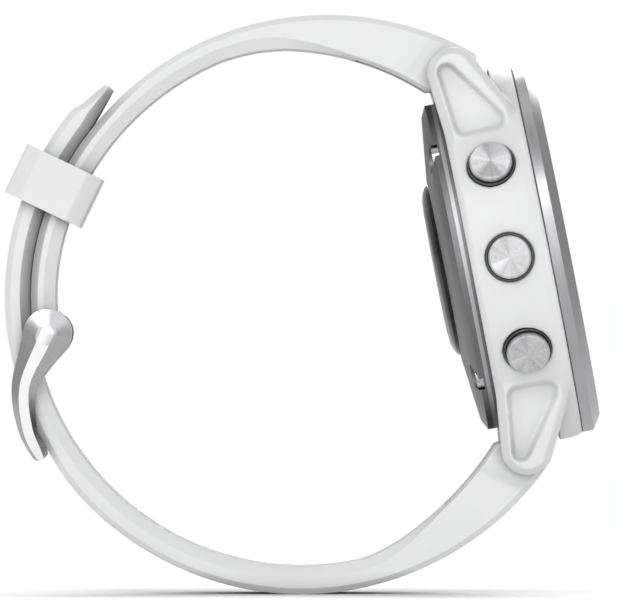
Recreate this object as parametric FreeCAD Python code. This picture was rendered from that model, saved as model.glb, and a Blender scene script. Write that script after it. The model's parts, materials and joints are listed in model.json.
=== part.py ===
import FreeCAD, Part

import math
import os

from FreeCAD import Placement, Rotation, Vector

# A GPS running watch with a round 42 mm case and a closed 20 mm silicone strap.
# It stands on the lowest point of its strap, dial towards +X and 12 o'clock up.
# +Z is up, Y runs across the strap, and the origin is under the middle of the watch.
# Case pieces are drawn in the case's own frame: X out of the dial, Y across the strap,
# Z towards 12 o'clock, origin where the bezel meets the housing on the dial's axis.

# ---- placing of the case ----
CASE_LEAN = 11.15            # the dial leans back by this many degrees
CASE_X, CASE_Z = 27.72, 38.80

# ---- case ----
BEZEL_R = 21.0
BEZEL_SIDE = 1.25            # height of the bezel's straight side
BEZEL_TOP = 2.27             # front of the bezel
BEZEL_FACE_R = 19.45         # outer edge of its flat front
BEZEL_BORE_R = 17.60
SPIGOT_R, SPIGOT_WALL = 18.65, 0.50
HOUSING_R = 21.0             # at the bezel seam
HOUSING_BELLY_R = 21.35      # a little behind the seam
HOUSING_BACK = -8.92
CAVITY_R = 18.0
BACK_LIP_R = 15.4            # opening in the back of the housing
BACK_RIM_R = 18.65           # steel back
BACK_RIM_END = -10.4
BACK_DOME_END = -11.8
SENSOR_R = 9.8
SCREW_TOP = -10.75           # heads of the back screws
SCREW_PITCH = 17.35
SCREW_ANGLES = (46.0, 134.0, 226.0, 314.0)
GASKET_IN, GASKET_OUT = 15.75, 16.25
CHARGE_V = -12.4             # charging socket, below the middle of the back
CHARGE_PINS = (-1.65, -0.55, 0.55, 1.65)

# ---- lugs ----
BAR_U, BAR_V = -6.6, 21.8    # lug bar, from the case origin
BAR_R = 0.9
LUG_END_R = 2.95
LUG_GAP = 20.3               # between the two arms of a pair
LUG_OUTER = 13.4             # side face of an arm at its tip, from the middle plane
LUG_BEVEL = 1.25
LUG_FLARE = 12.5             # the arms spread towards the case by this many degrees
POCKET_DEPTH, POCKET_SLOPE = 1.1, 0.6      # its walls slope in by this much
POCKET_CORNER_R = 1.25
POCKET_CENTRES = ((-7.36, 21.63), (-2.98, 15.32), (-6.61, 15.18))   # of its round corners
RECESS_V = 18.95             # flat that the strap's end faces
RECESS_U = -2.7

# ---- buttons ----
BUTTON_U = -4.5
BUTTON_ANGLES = {"light": 30.0, "up": 0.0, "down": -30.0}
BUTTON_ANGLES_FAR = {"start": 30.0, "back": -30.0}
CAP_R = 2.42
CAP_TOP = 22.30              # all button radii are from the dial's axis
CAP_THICK = 1.4
COLLAR_R = 2.72
COLLAR_TOP, COLLAR_END = 21.3, 17.6
CAP_POCKET_END = 20.2        # floor that stops the pressed cap
SPRING_POCKET_R, SPRING_POCKET_END = 1.95, 19.2
STEM_R, STEM_BORE_R = 1.0, 1.05
STEM_END = 16.6
SEAL_AT = 18.4
CLIP_TOP, CLIP_THICK, CLIP_R = 17.55, 0.3, 1.5
SWITCH_FACE = 15.85

# ---- strap, side view: round stretches share these centres ----
TOP_CENTRE, TOP_OUT, TOP_IN = (2.89, 31.40), 33.85, 31.05
REAR_CENTRE = (-2.00, 33.60)
CENTRE_STEP = math.dist(TOP_CENTRE, REAR_CENTRE)
REAR_OUT, REAR_IN = TOP_OUT - CENTRE_STEP, TOP_IN - CENTRE_STEP
LOW_CENTRE, LOW_OUT, LOW_IN = (0.00, 33.70), 33.70, 30.60
TAIL_OUT, TAIL_GAP = 31.40, 0.07   # the free end lies on the strap under it
TANGENT_AT = math.degrees(   # where the top arcs run into the rear arcs
    math.atan2(REAR_CENTRE[1] - TOP_CENTRE[1], REAR_CENTRE[0] - TOP_CENTRE[0])
)
TAIL_SWELL, TAIL_SWELL_AT = 31.70, 138.5
TAIL_TIP_OUT, TAIL_TIP_IN, TAIL_TIP_AT = 31.20, 30.15, 129.7   # its thin end
STRAP_HALF = 9.0             # half width of the strap
STRAP_END_HALF = 9.9         # half width between the lugs
TOP_DIRECTION = 157.0        # strap's direction as it leaves each lug bar
LOW_DIRECTION = 230.8
HOLE_STEP = 5.0              # between the adjusting holes
HOLE_COUNT = 9

# ---- buckle and keeper ----
PIN_X, PIN_Z, PIN_R = -28.6, 29.4, 0.75
EYE_R = 1.5                  # the short strap's end round the pin
FRAME_IN, FRAME_OUT = 9.35, 11.1
FRAME_HEAD_R = 2.7
TONGUE_HALF = 1.0
TONGUE_GAP_HALF = 1.3
KEEPER_AT = 154.4            # direction of the keeper from the rear centre
KEEPER_R = 28.7              # middle of the keeper, from the rear centre
KEEPER_DEEP, KEEPER_LONG = 9.36, 5.98
KEEPER_CLEAR = 0.25          # between its window and the two strap layers
KEEPER_HALF, WINDOW_HALF = 10.6, 9.3

# ---- latch under each strap end, along the strap and outward from the lug bar ----
SLOT_HALF = 1.05
LATCH_TIP, LATCH_TAIL = -0.9, 5.6
LATCH_FACE, LATCH_THICK = -0.98, 0.67
POCKET_END, POCKET_HALF = 10.6, 7.1
PLATE_HALF = 7.0

X, Y, Z = Vector(1, 0, 0), Vector(0, 1, 0), Vector(0, 0, 1)
ORIGIN = Vector(0, 0, 0)


# ---------------------------------------------------------------- helpers
def save(name, shape):
    """Write one sub-part to its own file."""
    shape.exportStep("parts/" + name + ".step")


def on_case(shape):
    """Move a shape from the case's frame to its place in the watch."""
    placed = shape.copy()
    lean = Rotation(Y, -CASE_LEAN)
    placed.Placement = Placement(Vector(CASE_X, 0, CASE_Z), lean).multiply(shape.Placement)
    return placed


def turned(profile):
    """A ring or disc about the dial's axis, from its (depth, radius) outline."""
    points = [Vector(u, 0, r) for u, r in profile]
    face = Part.Face(Part.makePolygon(points + points[:1]))
    return face.revolve(ORIGIN, X, 360)


def disc(u_low, u_high, radius):
    """A round plate square to the dial's axis."""
    return Part.makeCylinder(radius, u_high - u_low, Vector(u_low, 0, 0), X)


def ring(u_low, u_high, inner, outer):
    """A flat ring square to the dial's axis."""
    return disc(u_low, u_high, outer).cut(disc(u_low, u_high, inner))


def box(low, high):
    """A box from its lowest to its highest corner."""
    size = [b - a for a, b in zip(low, high)]
    return Part.makeBox(size[0], size[1], size[2], Vector(*low))


def fuse(shapes):
    """Join shapes and drop the seams between their faces."""
    return shapes[0].multiFuse(shapes[1:]).removeSplitter()


def along_radius(shape, angle, side):
    """Turn a piece drawn along +Z to point out of the case's side.

    The angle is counted from 9 o'clock (side -1) or 3 o'clock (side 1) towards 12.
    """
    placed = shape.copy()
    placed.rotate(ORIGIN, X, -side * (90 - angle))
    placed.translate(Vector(BUTTON_U, 0, 0))
    return placed


def polar(centre, radius, angle):
    """A point of the side view, as a vector in the middle plane."""
    a = math.radians(angle)
    return Vector(centre[0] + radius * math.cos(a), 0, centre[1] + radius * math.sin(a))


def arc(centre, radius, start, end):
    """An arc of the side view between two directions in degrees."""
    middle = polar(centre, radius, (start + end) / 2)
    return Part.Arc(polar(centre, radius, start), middle, polar(centre, radius, end)).toShape()


def curve(points, start_direction, end_direction):
    """A smooth line through side view points, with its directions at both ends."""
    line = Part.BSplineCurve()
    line.interpolate(Points=points, InitialTangent=start_direction, FinalTangent=end_direction)
    return line.toShape()


def joined(parts):
    """A closed wire from edges and points; straight edges fill the gaps."""
    edges = []
    last = None
    first = None
    for part in parts:
        start = part if isinstance(part, Vector) else part.valueAt(part.FirstParameter)
        end = part if isinstance(part, Vector) else part.valueAt(part.LastParameter)
        if last is not None and last.distanceToPoint(start) > 1e-4:
            edges.append(Part.makeLine(last, start))
        if not isinstance(part, Vector):
            edges.append(part)
        first = start if first is None else first
        last = end
    if last.distanceToPoint(first) > 1e-4:
        edges.append(Part.makeLine(last, first))
    return Part.Wire(edges)


def slab(wire, y_low, y_high):
    """A side view outline given its width across the strap."""
    face = Part.Face(wire)
    face.translate(Vector(0, y_low, 0))
    return face.extrude(Vector(0, y_high - y_low, 0))


def across(x, z, radius, half):
    """A cylinder across the strap, centred on the middle plane."""
    return Part.makeCylinder(radius, 2 * half, Vector(x, -half, z), Y)


def coil(radius, wire_radius, length, turns):
    """A compression spring along +Z from the origin."""
    pitch = (length - 2 * wire_radius) / turns
    helix = Part.makeLongHelix(pitch, pitch * turns, radius)
    section = Part.Wire(Part.makeCircle(wire_radius, Vector(radius, 0, 0), Y))
    spring = Part.Wire(helix).makePipeShell([section], True, True)
    spring.translate(Vector(0, 0, wire_radius))
    return spring


# ---------------------------------------------------------------- case shell
def lug_outline(inset):
    """Side view of a lug arm, drawn in for its bevel by the inset."""
    r = LUG_END_R - inset
    centre = (BAR_U, BAR_V)
    back = HOUSING_BACK + inset
    front_foot = Vector(-0.75 - inset, 0, 16.6)
    return joined([
        Vector(back, 0, 9.0),
        Vector(back, 0, 15.0),
        arc(centre, r, 186, 40),
        front_foot,
        Vector(front_foot.x, 0, 9.0),
    ])


def flared(shape):
    """Lean an arm's side face outward, about the arm's tip."""
    shape.rotate(Vector(0, -LUG_OUTER, BAR_V + LUG_END_R), X, -LUG_FLARE)
    return shape


def rounded_triangle(radius, y, shift):
    """The pocket's outline square to Y, this far from the centres of its corners."""
    centres = [Vector(x, y, z + shift) for x, z in POCKET_CENTRES]
    normals = []
    for start, end in zip(centres, centres[1:] + centres[:1]):
        way = end.sub(start).normalize()
        normals.append(Vector(-way.z, 0, way.x))
    parts = []
    for i, centre in enumerate(centres):
        before, after = normals[i - 1], normals[i]
        middle = before.add(after).normalize()
        ends = [centre.add(way * radius) for way in (before, middle, after)]
        parts.append(Part.Arc(*ends).toShape())
    return joined(parts)


def lug_pocket():
    """The rounded triangle sunk in the side of a lug arm, with sloping walls."""
    wires = []
    for side in (-1, 1):
        depth = side * POCKET_DEPTH
        shift = depth * math.tan(math.radians(LUG_FLARE))
        radius = POCKET_CORNER_R - side * POCKET_SLOPE
        wires.append(rounded_triangle(radius, depth - LUG_OUTER, shift))
    return flared(Part.makeLoft(wires, True, True))


def lug_arm():
    """One lug arm at 12 o'clock on the 9 o'clock side, with its bevel."""
    bevel_at = LUG_BEVEL - LUG_OUTER
    straight = slab(lug_outline(0), bevel_at, -8.0)
    outer_wire = lug_outline(0)
    outer_wire.translate(Vector(0, bevel_at, 0))
    inner_wire = lug_outline(LUG_BEVEL * 0.8)
    inner_wire.translate(Vector(0, -LUG_OUTER, 0))
    bevel = Part.makeLoft([outer_wire, inner_wire], True, True)
    arm = flared(fuse([straight, bevel]))
    return arm.common(slab(lug_outline(0), -30, 0))


def on_four_lugs(shape):
    """A piece of the first lug arm, repeated on all four."""
    pair = [shape, mirrored(shape, Y)]
    return pair + [mirrored(piece, Z) for piece in pair]


def mirrored(shape, normal):
    """A mirror copy across a plane through the case origin."""
    return shape.mirror(ORIGIN, normal)


def button_places():
    """Name, angle and side of every button."""
    near = [(name, angle, -1) for name, angle in BUTTON_ANGLES.items()]
    far = [(name, angle, 1) for name, angle in BUTTON_ANGLES_FAR.items()]
    return near + far


def on_screw(angle, u):
    """A point on the axis of the back screw at this angle."""
    a = math.radians(angle)
    return Vector(u, -SCREW_PITCH * math.cos(a), SCREW_PITCH * math.sin(a))


def screw_cylinders(radius, u_low, length):
    """The same cylinder on the axes of all four back screws."""
    pins = [Part.makeCylinder(radius, length, on_screw(a, u_low), X) for a in SCREW_ANGLES]
    return pins[0].multiFuse(pins[1:])


def housing():
    """The moulded shell: barrel, four lug arms, seats for display, back and buttons."""
    barrel = turned([
        (0, 0), (0, HOUSING_R), (-0.35, HOUSING_R + 0.15), (-1.3, HOUSING_BELLY_R),
        (-3.0, HOUSING_BELLY_R), (-6.5, HOUSING_R + 0.15), (-8.3, HOUSING_R - 0.15),
        (HOUSING_BACK, HOUSING_R - 0.75), (HOUSING_BACK, 0),
    ])
    body = barrel.multiFuse(on_four_lugs(lug_arm()))
    cavity = turned([
        (0, 0), (0, BEZEL_BORE_R), (-0.3, BEZEL_BORE_R), (-0.3, 16.9), (-1.6, 16.9),
        (-1.6, CAVITY_R), (-7.9, CAVITY_R), (-7.9, BACK_LIP_R), (HOUSING_BACK, BACK_LIP_R),
        (HOUSING_BACK, 0),
    ])
    cavity = cavity.cut(screw_cylinders(1.5, -7.9, 3.2))
    cuts = [cavity, screw_cylinders(0.62, -9.0, 4.0)] + on_four_lugs(lug_pocket())
    for side in (1, -1):
        low, high = sorted((side * RECESS_V, side * 30))
        cuts.append(box((-12, -LUG_GAP / 2, low), (RECESS_U, LUG_GAP / 2, high)))
        hole = Part.makeCylinder(BAR_R + 0.03, 24.8, Vector(BAR_U, -12.4, side * BAR_V), Y)
        cuts.append(hole)
    cuts.append(disc(-12, HOUSING_BACK, 19.1))
    cuts.append(ring(-1.05, 0.1, SPIGOT_R - SPIGOT_WALL - 0.05, SPIGOT_R + 0.05))
    cuts.append(ring(HOUSING_BACK - 0.1, -8.5, GASKET_IN - 0.05, GASKET_OUT + 0.05))
    for name, angle, side in button_places():
        bore = Part.makeCylinder(COLLAR_R + 0.02, 6.0, Vector(0, 0, COLLAR_END - 0.3), Z)
        cuts.append(along_radius(bore, angle, side))
    return body.cut(cuts[0].multiFuse(cuts[1:]))


def bezel_ring():
    """The steel bezel with its spigot down into the housing."""
    return turned([
        (0.02, BEZEL_BORE_R), (0.02, SPIGOT_R - SPIGOT_WALL), (-0.95, SPIGOT_R - SPIGOT_WALL),
        (-0.95, SPIGOT_R), (0.02, SPIGOT_R), (0.02, BEZEL_R - 0.08), (0.1, BEZEL_R),
        (BEZEL_SIDE, BEZEL_R), (BEZEL_TOP - 0.05, BEZEL_FACE_R + 0.06),
        (BEZEL_TOP, BEZEL_FACE_R), (BEZEL_TOP, BEZEL_BORE_R + 0.3),
        (BEZEL_TOP - 0.3, BEZEL_BORE_R),
    ])


def display_lens():
    """The round glass, with a small chamfer at its front edge."""
    return turned([
        (0.85, 0), (0.85, 17.5), (1.7, 17.5), (1.9, 17.3), (1.9, 0),
    ])


def lens_gasket():
    return ring(0.6, 0.84, 16.7, 17.45)


def dial_ring():
    """The sloping ring between the glass and the display."""
    return turned([
        (-0.25, 15.3), (-0.25, 17.5), (0.59, 17.5), (0.59, 16.3), (0.1, 15.4),
    ])


def display_panel():
    """The round display with its connector tail."""
    panel = disc(-1.3, -0.35, 16.3)
    tail = box((-1.6, -3.5, -16.2), (-1.3, 3.5, -11.0))
    return fuse([panel, tail])


def inner_frame():
    """The moulded frame that carries the display, battery and board."""
    plate = disc(-2.3, -1.65, 17.6)
    wall = ring(-7.1, -2.3, 12.9, 13.6)
    window = box((-3, -4.0, -17), (-1, 4.0, -10.4))
    notch = box((-7.2, -3.0, 12), (-5.4, 3.0, 15))
    return fuse([plate, wall]).cut(window).cut(notch)


def battery_cell():
    """The flat cell, with its folded edge and tab."""
    cell = box((-5.6, -9.6, -7.4), (-2.45, 9.6, 7.4))
    long_edges = [e for e in cell.Edges if abs(e.tangentAt(e.FirstParameter).x) < 0.01]
    cell = cell.makeFillet(0.6, long_edges)
    tab = box((-4.6, -5.0, 7.3), (-3.4, 5.0, 8.6))
    return fuse([cell, tab])


def main_board():
    """The round board with its chips and connectors."""
    board = disc(-6.55, -5.75, 12.6)
    chips = [
        box((-7.35, 3.5, -6.0), (-6.5, 9.0, -1.0)),
        box((-7.15, 4.0, 1.0), (-6.5, 7.5, 4.5)),
        box((-7.05, -9.5, -7.5), (-6.5, -6.5, -4.5)),
        box((-7.35, -4.0, 8.4), (-6.5, 4.0, 10.6)),
    ]
    return fuse([board] + chips)


def shield_can():
    """The pressed cover over the receiver."""
    can = box((-7.75, -9.0, -3.4), (-6.56, 2.2, 6.6))
    hollow = box((-7.6, -8.85, -3.25), (-6.5, 2.05, 6.45))
    return can.cut(hollow)


def vibration_motor():
    """The bar motor behind 12 o'clock with its off-centre weight."""
    u, v = -5.0, 15.4
    body = Part.makeCylinder(1.6, 6.0, Vector(u, -4.6, v), Y)
    shaft = Part.makeCylinder(0.4, 2.8, Vector(u, 1.4, v), Y)
    weight = Part.makeCylinder(1.5, 2.2, Vector(u, 1.9, v), Y)
    weight = weight.cut(box((u - 3, 1.8, v), (u + 3, 4.5, v + 3)))
    return fuse([body, shaft, weight])


def gps_antenna():
    """The antenna arc above the buttons, with its feed foot."""
    band = ring(-2.95, -2.35, 15.7, 17.3)
    gap = box((-4, -4.5, -18), (-2, 4.5, -10))
    foot = box((-5.7, 5.5, 13.1), (-2.4, 7.5, 13.5))
    bridge = box((-2.95, 5.5, 13.1), (-2.35, 7.5, 15.5))
    return fuse([band.cut(gap), foot, bridge])


def buzzer():
    return box((-6.4, -4.5, -17.1), (-3.6, 4.5, -13.9)).cut(
        Part.makeCylinder(0.7, 1.0, Vector(-6.5, 0, -15.5), X)
    )


def back_plate():
    """The steel back: rim, chamfer, shallow cone and openings."""
    shell = turned([
        (HOUSING_BACK - 0.02, BACK_LIP_R - 0.1), (HOUSING_BACK - 0.02, 18.9),
        (HOUSING_BACK - 0.35, 18.9), (HOUSING_BACK - 0.35, BACK_RIM_R),
        (BACK_RIM_END, BACK_RIM_R), (-11.0, 17.4), (BACK_DOME_END, 10.4),
        (BACK_DOME_END, SENSOR_R + 0.05), (-10.6, SENSOR_R + 0.05), (-10.6, 14.5),
        (-9.9, 15.0), (-8.2, 15.0), (-8.2, BACK_LIP_R - 0.1),
    ])
    shell = shell.cut(screw_cylinders(1.55, -13, 3.05)).cut(screw_cylinders(0.8, -13, 5))
    return shell.cut(charge_slot(3.25, 1.55, -13, -10))


def charge_slot(half_length, radius, u_low, u_high):
    """A stadium along Y through the steel back, at the charging socket."""
    depth = u_high - u_low
    reach = half_length - radius
    middle = box((u_low, -reach, CHARGE_V - radius), (u_high, reach, CHARGE_V + radius))
    ends = [
        Part.makeCylinder(radius, depth, Vector(u_low, s * reach, CHARGE_V), X)
        for s in (1, -1)
    ]
    return fuse([middle] + ends)


def charge_socket():
    """The moulded insert that holds the charging contacts."""
    body = charge_slot(3.22, 1.52, -11.35, -9.6)
    flange = charge_slot(3.6, 1.9, -10.55, -9.6)
    hollow = charge_slot(2.7, 1.0, -12, -10.3)
    return fuse([body, flange]).cut(hollow).cut(charge_contacts())


def charge_contacts():
    """The row of four contact pins."""
    pins = [Part.makeCylinder(0.3, 1.9, Vector(-10.9, y, CHARGE_V), X) for y in CHARGE_PINS]
    return Part.makeCompound(pins)


def back_gasket():
    return ring(HOUSING_BACK, -8.52, GASKET_IN, GASKET_OUT)


def back_screws():
    """Four countersunk screws with a six-lobed drive."""
    screws = []
    for angle in SCREW_ANGLES:
        top = on_screw(angle, SCREW_TOP)
        head = Part.makeCylinder(1.3, 0.8, top, X)
        shank = Part.makeCylinder(0.6, 4.9, on_screw(angle, -10.0), X)
        drive = [Part.makeCylinder(0.5, 0.45, top, X)]
        for k in range(6):
            a = math.radians(60 * k)
            lobe = top.add(Vector(0, 0.5 * math.cos(a), 0.5 * math.sin(a)))
            drive.append(Part.makeCylinder(0.16, 0.45, lobe, X))
        screws.append(fuse([head, shank]).cut(drive[0].multiFuse(drive[1:])))
    return Part.makeCompound(screws)


def sensor_window():
    """The glossy dome over the heart-rate sensor."""
    return turned([
        (-10.62, 0), (-10.62, 9.2), (-10.4, 9.2), (-10.4, SENSOR_R),
        (-11.85, SENSOR_R), (-12.35, 9.3), (-12.7, 8.4), (-12.85, 6.7), (-12.9, 4.0), (-12.9, 0),
    ]).cut(disc(-11.6, -10.0, 8.6))


def sensor_board():
    """The small round board under the dome."""
    return disc(-10.55, -9.95, 8.4)


def sensor_leds():
    """Emitters and detectors on the sensor board."""
    places = [(0, 0, 1.3), (3.6, 0, 0.8), (-3.6, 0, 0.8), (0, 3.6, 1.1), (0, -3.6, 1.1)]
    leds = [box((-11.2, y - h, z - h), (-10.55, y + h, z + h)) for y, z, h in places]
    return Part.makeCompound(leds)


def button_collars():
    """The five steel bushes pressed into the housing."""
    bush = Part.makeCylinder(COLLAR_R, COLLAR_TOP - COLLAR_END, Vector(0, 0, COLLAR_END), Z)
    for radius, end in (
        (CAP_R + 0.1, CAP_POCKET_END),
        (SPRING_POCKET_R, SPRING_POCKET_END),
        (STEM_BORE_R, COLLAR_END - 1),
    ):
        bush = bush.cut(Part.makeCylinder(radius, 9, Vector(0, 0, end), Z))
    return Part.makeCompound([along_radius(bush, angle, side) for n, angle, side in button_places()])


def side_switches():
    """The five small switches that the stems press."""
    body = box((-1.6, -2.0, SWITCH_FACE - 1.75), (1.6, 2.0, SWITCH_FACE - 0.45))
    plunger = Part.makeCylinder(0.8, 0.6, Vector(0, 0, SWITCH_FACE - 0.6), Z)
    switch = fuse([body, plunger])
    return Part.makeCompound([along_radius(switch, angle, side) for n, angle, side in button_places()])


def button():
    """Cap and stem, with grooves for the seal and the clip."""
    cap = Part.makeCylinder(CAP_R, CAP_THICK, Vector(0, 0, CAP_TOP - CAP_THICK), Z)
    rim = [e for e in cap.Edges if abs(e.BoundBox.ZMin - CAP_TOP) < 1e-3]
    cap = cap.makeChamfer(0.16, rim)
    stem = Part.makeCylinder(STEM_R, CAP_TOP - 0.5 - STEM_END, Vector(0, 0, STEM_END), Z)
    body = fuse([cap, stem])
    seal_groove = Part.makeCylinder(2, 0.5, Vector(0, 0, SEAL_AT - 0.25), Z)
    seal_groove = seal_groove.cut(Part.makeCylinder(0.62, 9, Vector(0, 0, 15), Z))
    clip_groove = Part.makeCylinder(2, CLIP_THICK + 0.04, Vector(0, 0, CLIP_TOP - CLIP_THICK - 0.02), Z)
    clip_groove = clip_groove.cut(Part.makeCylinder(0.62, 9, Vector(0, 0, 15), Z))
    return body.cut(seal_groove).cut(clip_groove)


def button_seal():
    """The ring seal in the stem's groove."""
    return Part.makeTorus(0.83, 0.2, Vector(0, 0, SEAL_AT), Z)


def button_clip():
    """The open clip that keeps the stem in its bush."""
    clip = Part.makeCylinder(CLIP_R, CLIP_THICK, Vector(0, 0, CLIP_TOP - CLIP_THICK), Z)
    clip = clip.cut(Part.makeCylinder(0.64, 2, Vector(0, 0, CLIP_TOP - 1), Z))
    return clip.cut(box((0, -0.5, CLIP_TOP - 1), (3, 0.5, CLIP_TOP + 1)))


def button_spring():
    """The return spring between the cap and its bush."""
    gap = 0.02
    low, high = SPRING_POCKET_END + gap, CAP_TOP - CAP_THICK - gap
    spring = coil(1.5, 0.15, high - low, 3.5)
    spring.translate(Vector(0, 0, low))
    return spring


def lug_bar():
    """A lug bar across the strap's end, with turned-down ends."""
    bar = Part.makeCylinder(BAR_R, 24.4, Vector(BAR_U, -12.2, BAR_V), Y)
    ends = [e for e in bar.Edges if e.Length < 6.5]
    return bar.makeChamfer(0.2, [e for e in ends if abs(abs(e.BoundBox.YMin) - 12.2) < 0.01])


# ---------------------------------------------------------------- strap
def bar_point(sign):
    """Middle of a lug bar in the watch's frame; sign 1 is at 12 o'clock."""
    return on_case(Part.Vertex(Vector(BAR_U, 0, sign * BAR_V))).Point


def end_point(sign, along, out):
    """A side view point near a lug bar: along the strap, and out from the wrist."""
    a = math.radians(TOP_DIRECTION if sign > 0 else LOW_DIRECTION)
    d = Vector(math.cos(a), 0, math.sin(a))
    n = Vector(d.z, 0, -d.x) if sign > 0 else Vector(-d.z, 0, d.x)
    return bar_point(sign).add(d * along).add(n * out)


def bar_slot(sign):
    """The strap's end round the bar, from its wrist side to its nose."""
    top = Part.Arc(
        end_point(sign, SLOT_HALF, 0), end_point(sign, 0, SLOT_HALF), end_point(sign, -SLOT_HALF, 0)
    ).toShape()
    return [
        end_point(sign, SLOT_HALF, -3.2), top, end_point(sign, -SLOT_HALF, -1.4),
        end_point(sign, -2.3, -1.4),
    ]


def latch_pocket(sign):
    """The room for the latch on the strap's wrist side."""
    wire = joined([
        end_point(sign, 0, 0.0), end_point(sign, POCKET_END, 0.0),
        end_point(sign, POCKET_END, -5), end_point(sign, 0, -5),
    ])
    return slab(wire, -POCKET_HALF, POCKET_HALF)


def end_zone(sign):
    """The stretch of strap between the lugs, where it is widest."""
    wire = joined([
        end_point(sign, -3, -5), end_point(sign, 3.6, -5), end_point(sign, 2.0, 5),
        end_point(sign, -3, 5),
    ])
    return slab(wire, -15, 15)


def widened(outline, sign):
    """A strap of normal width with its wider end between the lugs."""
    body = slab(outline, -STRAP_HALF, STRAP_HALF)
    wide = slab(outline, -STRAP_END_HALF, STRAP_END_HALF).common(end_zone(sign))
    return fuse([body, wide]).cut(latch_pocket(sign))


def strap_short():
    """The 12 o'clock strap half, from its lug bar round to the buckle pin."""
    kink = 105.8
    inner_kink = polar(TOP_CENTRE, TOP_IN, kink)
    under_lug = end_point(1, 1.9, -3.3)
    through = Vector(4.7, 0, 60.55)
    end_at = 187.0
    outline = joined([
        end_point(1, -2.3, 1.6),
        end_point(1, -1.6, 2.75),
        arc(TOP_CENTRE, TOP_OUT, 62.5, TANGENT_AT),
        arc(REAR_CENTRE, REAR_OUT, TANGENT_AT, end_at),
        arc(REAR_CENTRE, REAR_IN, end_at, TANGENT_AT),
        arc(TOP_CENTRE, TOP_IN, TANGENT_AT, kink),
        Part.Arc(inner_kink, through, under_lug).toShape(),
    ] + bar_slot(1))
    strap = widened(outline, 1)
    eye = across(PIN_X, PIN_Z, EYE_R, STRAP_HALF)
    strap = fuse([strap, eye]).cut(across(PIN_X, PIN_Z, PIN_R + 0.05, 20))
    tongue_gap = across(PIN_X, PIN_Z, 3.2, TONGUE_GAP_HALF)
    return strap.cut(tongue_gap)


def eased(start, start_at, end, end_at, turn):
    """A smooth line between points of two arcs, in line with each arc where it meets it.

    The points' directions from their centres are in degrees; turn is 90 where the
    line runs round the strap in the sense of growing angles and -90 the other way.
    """
    pull = 8.0
    ways = []
    for angle in (start_at, end_at):
        a = math.radians(angle + turn)
        ways.append(Vector(math.cos(a), 0, math.sin(a)) * pull)
    return curve([start, end], ways[0], ways[1])


def strap_long():
    """The 6 o'clock strap half: under the watch, through the buckle, to the tip."""
    kink = -74.3
    inner_kink = polar(LOW_CENTRE, LOW_IN, kink)
    under_lug = end_point(-1, 1.7, -3.3)
    through = Vector(15.7, 0, 9.6)
    outer_leave, inner_leave = 222.0, 206.0
    outer_join, inner_join = 190.0, 186.0
    swell_from, lift_at = 163.0, 142.0
    outline = joined([
        end_point(-1, -2.3, 1.4),
        end_point(-1, -1.6, 2.3),
        arc(LOW_CENTRE, LOW_OUT, 326.1, outer_leave),
        eased(polar(LOW_CENTRE, LOW_OUT, outer_leave), outer_leave,
              polar(REAR_CENTRE, TAIL_OUT, outer_join), outer_join, -90),
        arc(REAR_CENTRE, TAIL_OUT, outer_join, swell_from),
        eased(polar(REAR_CENTRE, TAIL_OUT, swell_from), swell_from,
              polar(REAR_CENTRE, TAIL_SWELL, TAIL_SWELL_AT), TAIL_SWELL_AT, -90),
        polar(REAR_CENTRE, TAIL_SWELL - 0.35, TAIL_SWELL_AT - 2.0),
        polar(REAR_CENTRE, TAIL_TIP_OUT, TAIL_TIP_AT),
        polar(REAR_CENTRE, TAIL_TIP_IN, TAIL_TIP_AT),
        arc(TOP_CENTRE, TOP_OUT + TAIL_GAP, lift_at, TANGENT_AT),
        arc(REAR_CENTRE, REAR_OUT + TAIL_GAP, TANGENT_AT, inner_join),
        eased(polar(REAR_CENTRE, REAR_OUT + TAIL_GAP, inner_join), inner_join,
              polar(LOW_CENTRE, LOW_IN, inner_leave), inner_leave, 90),
        arc(LOW_CENTRE, LOW_IN, inner_leave, 360 + kink),
        Part.Arc(inner_kink, through, under_lug).toShape(),
    ] + bar_slot(-1))
    strap = widened(outline, -1)
    return strap.cut(tongue_slot()).cut(adjusting_holes()).cut(tip_corners())


def tongue_slot():
    """The adjusting hole that the tongue goes through."""
    wire = Part.makePolygon([
        Vector(-29.2, 0, 30.4), Vector(-35.0, 0, 29.0), Vector(-35.0, 0, 21.0),
        Vector(-29.9, 0, 20.6), Vector(-28.0, 0, 23.0), Vector(-29.2, 0, 30.4),
    ])
    return slab(wire, -TONGUE_GAP_HALF, TONGUE_GAP_HALF)


def adjusting_holes():
    """Holes through the tail and the strap below the buckle."""
    holes = []
    step = math.degrees(HOLE_STEP / 30.5)
    for k in range(1, HOLE_COUNT + 1):
        angle = 188.0 - k * step if k < 5 else 198.0 + (k - 3) * step
        centre = REAR_CENTRE if k < 5 else LOW_CENTRE
        a = math.radians(angle)
        out = Vector(math.cos(a), 0, math.sin(a))
        start = Vector(centre[0], 0, centre[1]).add(out * (REAR_OUT - 0.4))
        holes.append(Part.makeCylinder(1.15, 6.5, start, out))
    return holes[0].multiFuse(holes[1:])


def tip_corners():
    """What is cut from the tail's end to round its two corners in plan."""
    r = 4.5
    corners = []
    for side in (1, -1):
        low, high = sorted((side * (STRAP_HALF - r), side * (STRAP_HALF + 2)))
        square = box((-10, low, 0), (10, high, r + 2))
        corners.append(square.cut(Part.makeCylinder(r, 20, Vector(-10, side * (STRAP_HALF - r), 0), X)))
    both = corners[0].fuse(corners[1])
    both.rotate(ORIGIN, Y, -(TAIL_TIP_AT - 180))
    tangent = Vector(math.sin(math.radians(TAIL_TIP_AT)), 0, -math.cos(math.radians(TAIL_TIP_AT)))
    both.translate(polar(REAR_CENTRE, TAIL_TIP_IN, TAIL_TIP_AT).sub(tangent * r))
    return both


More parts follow.
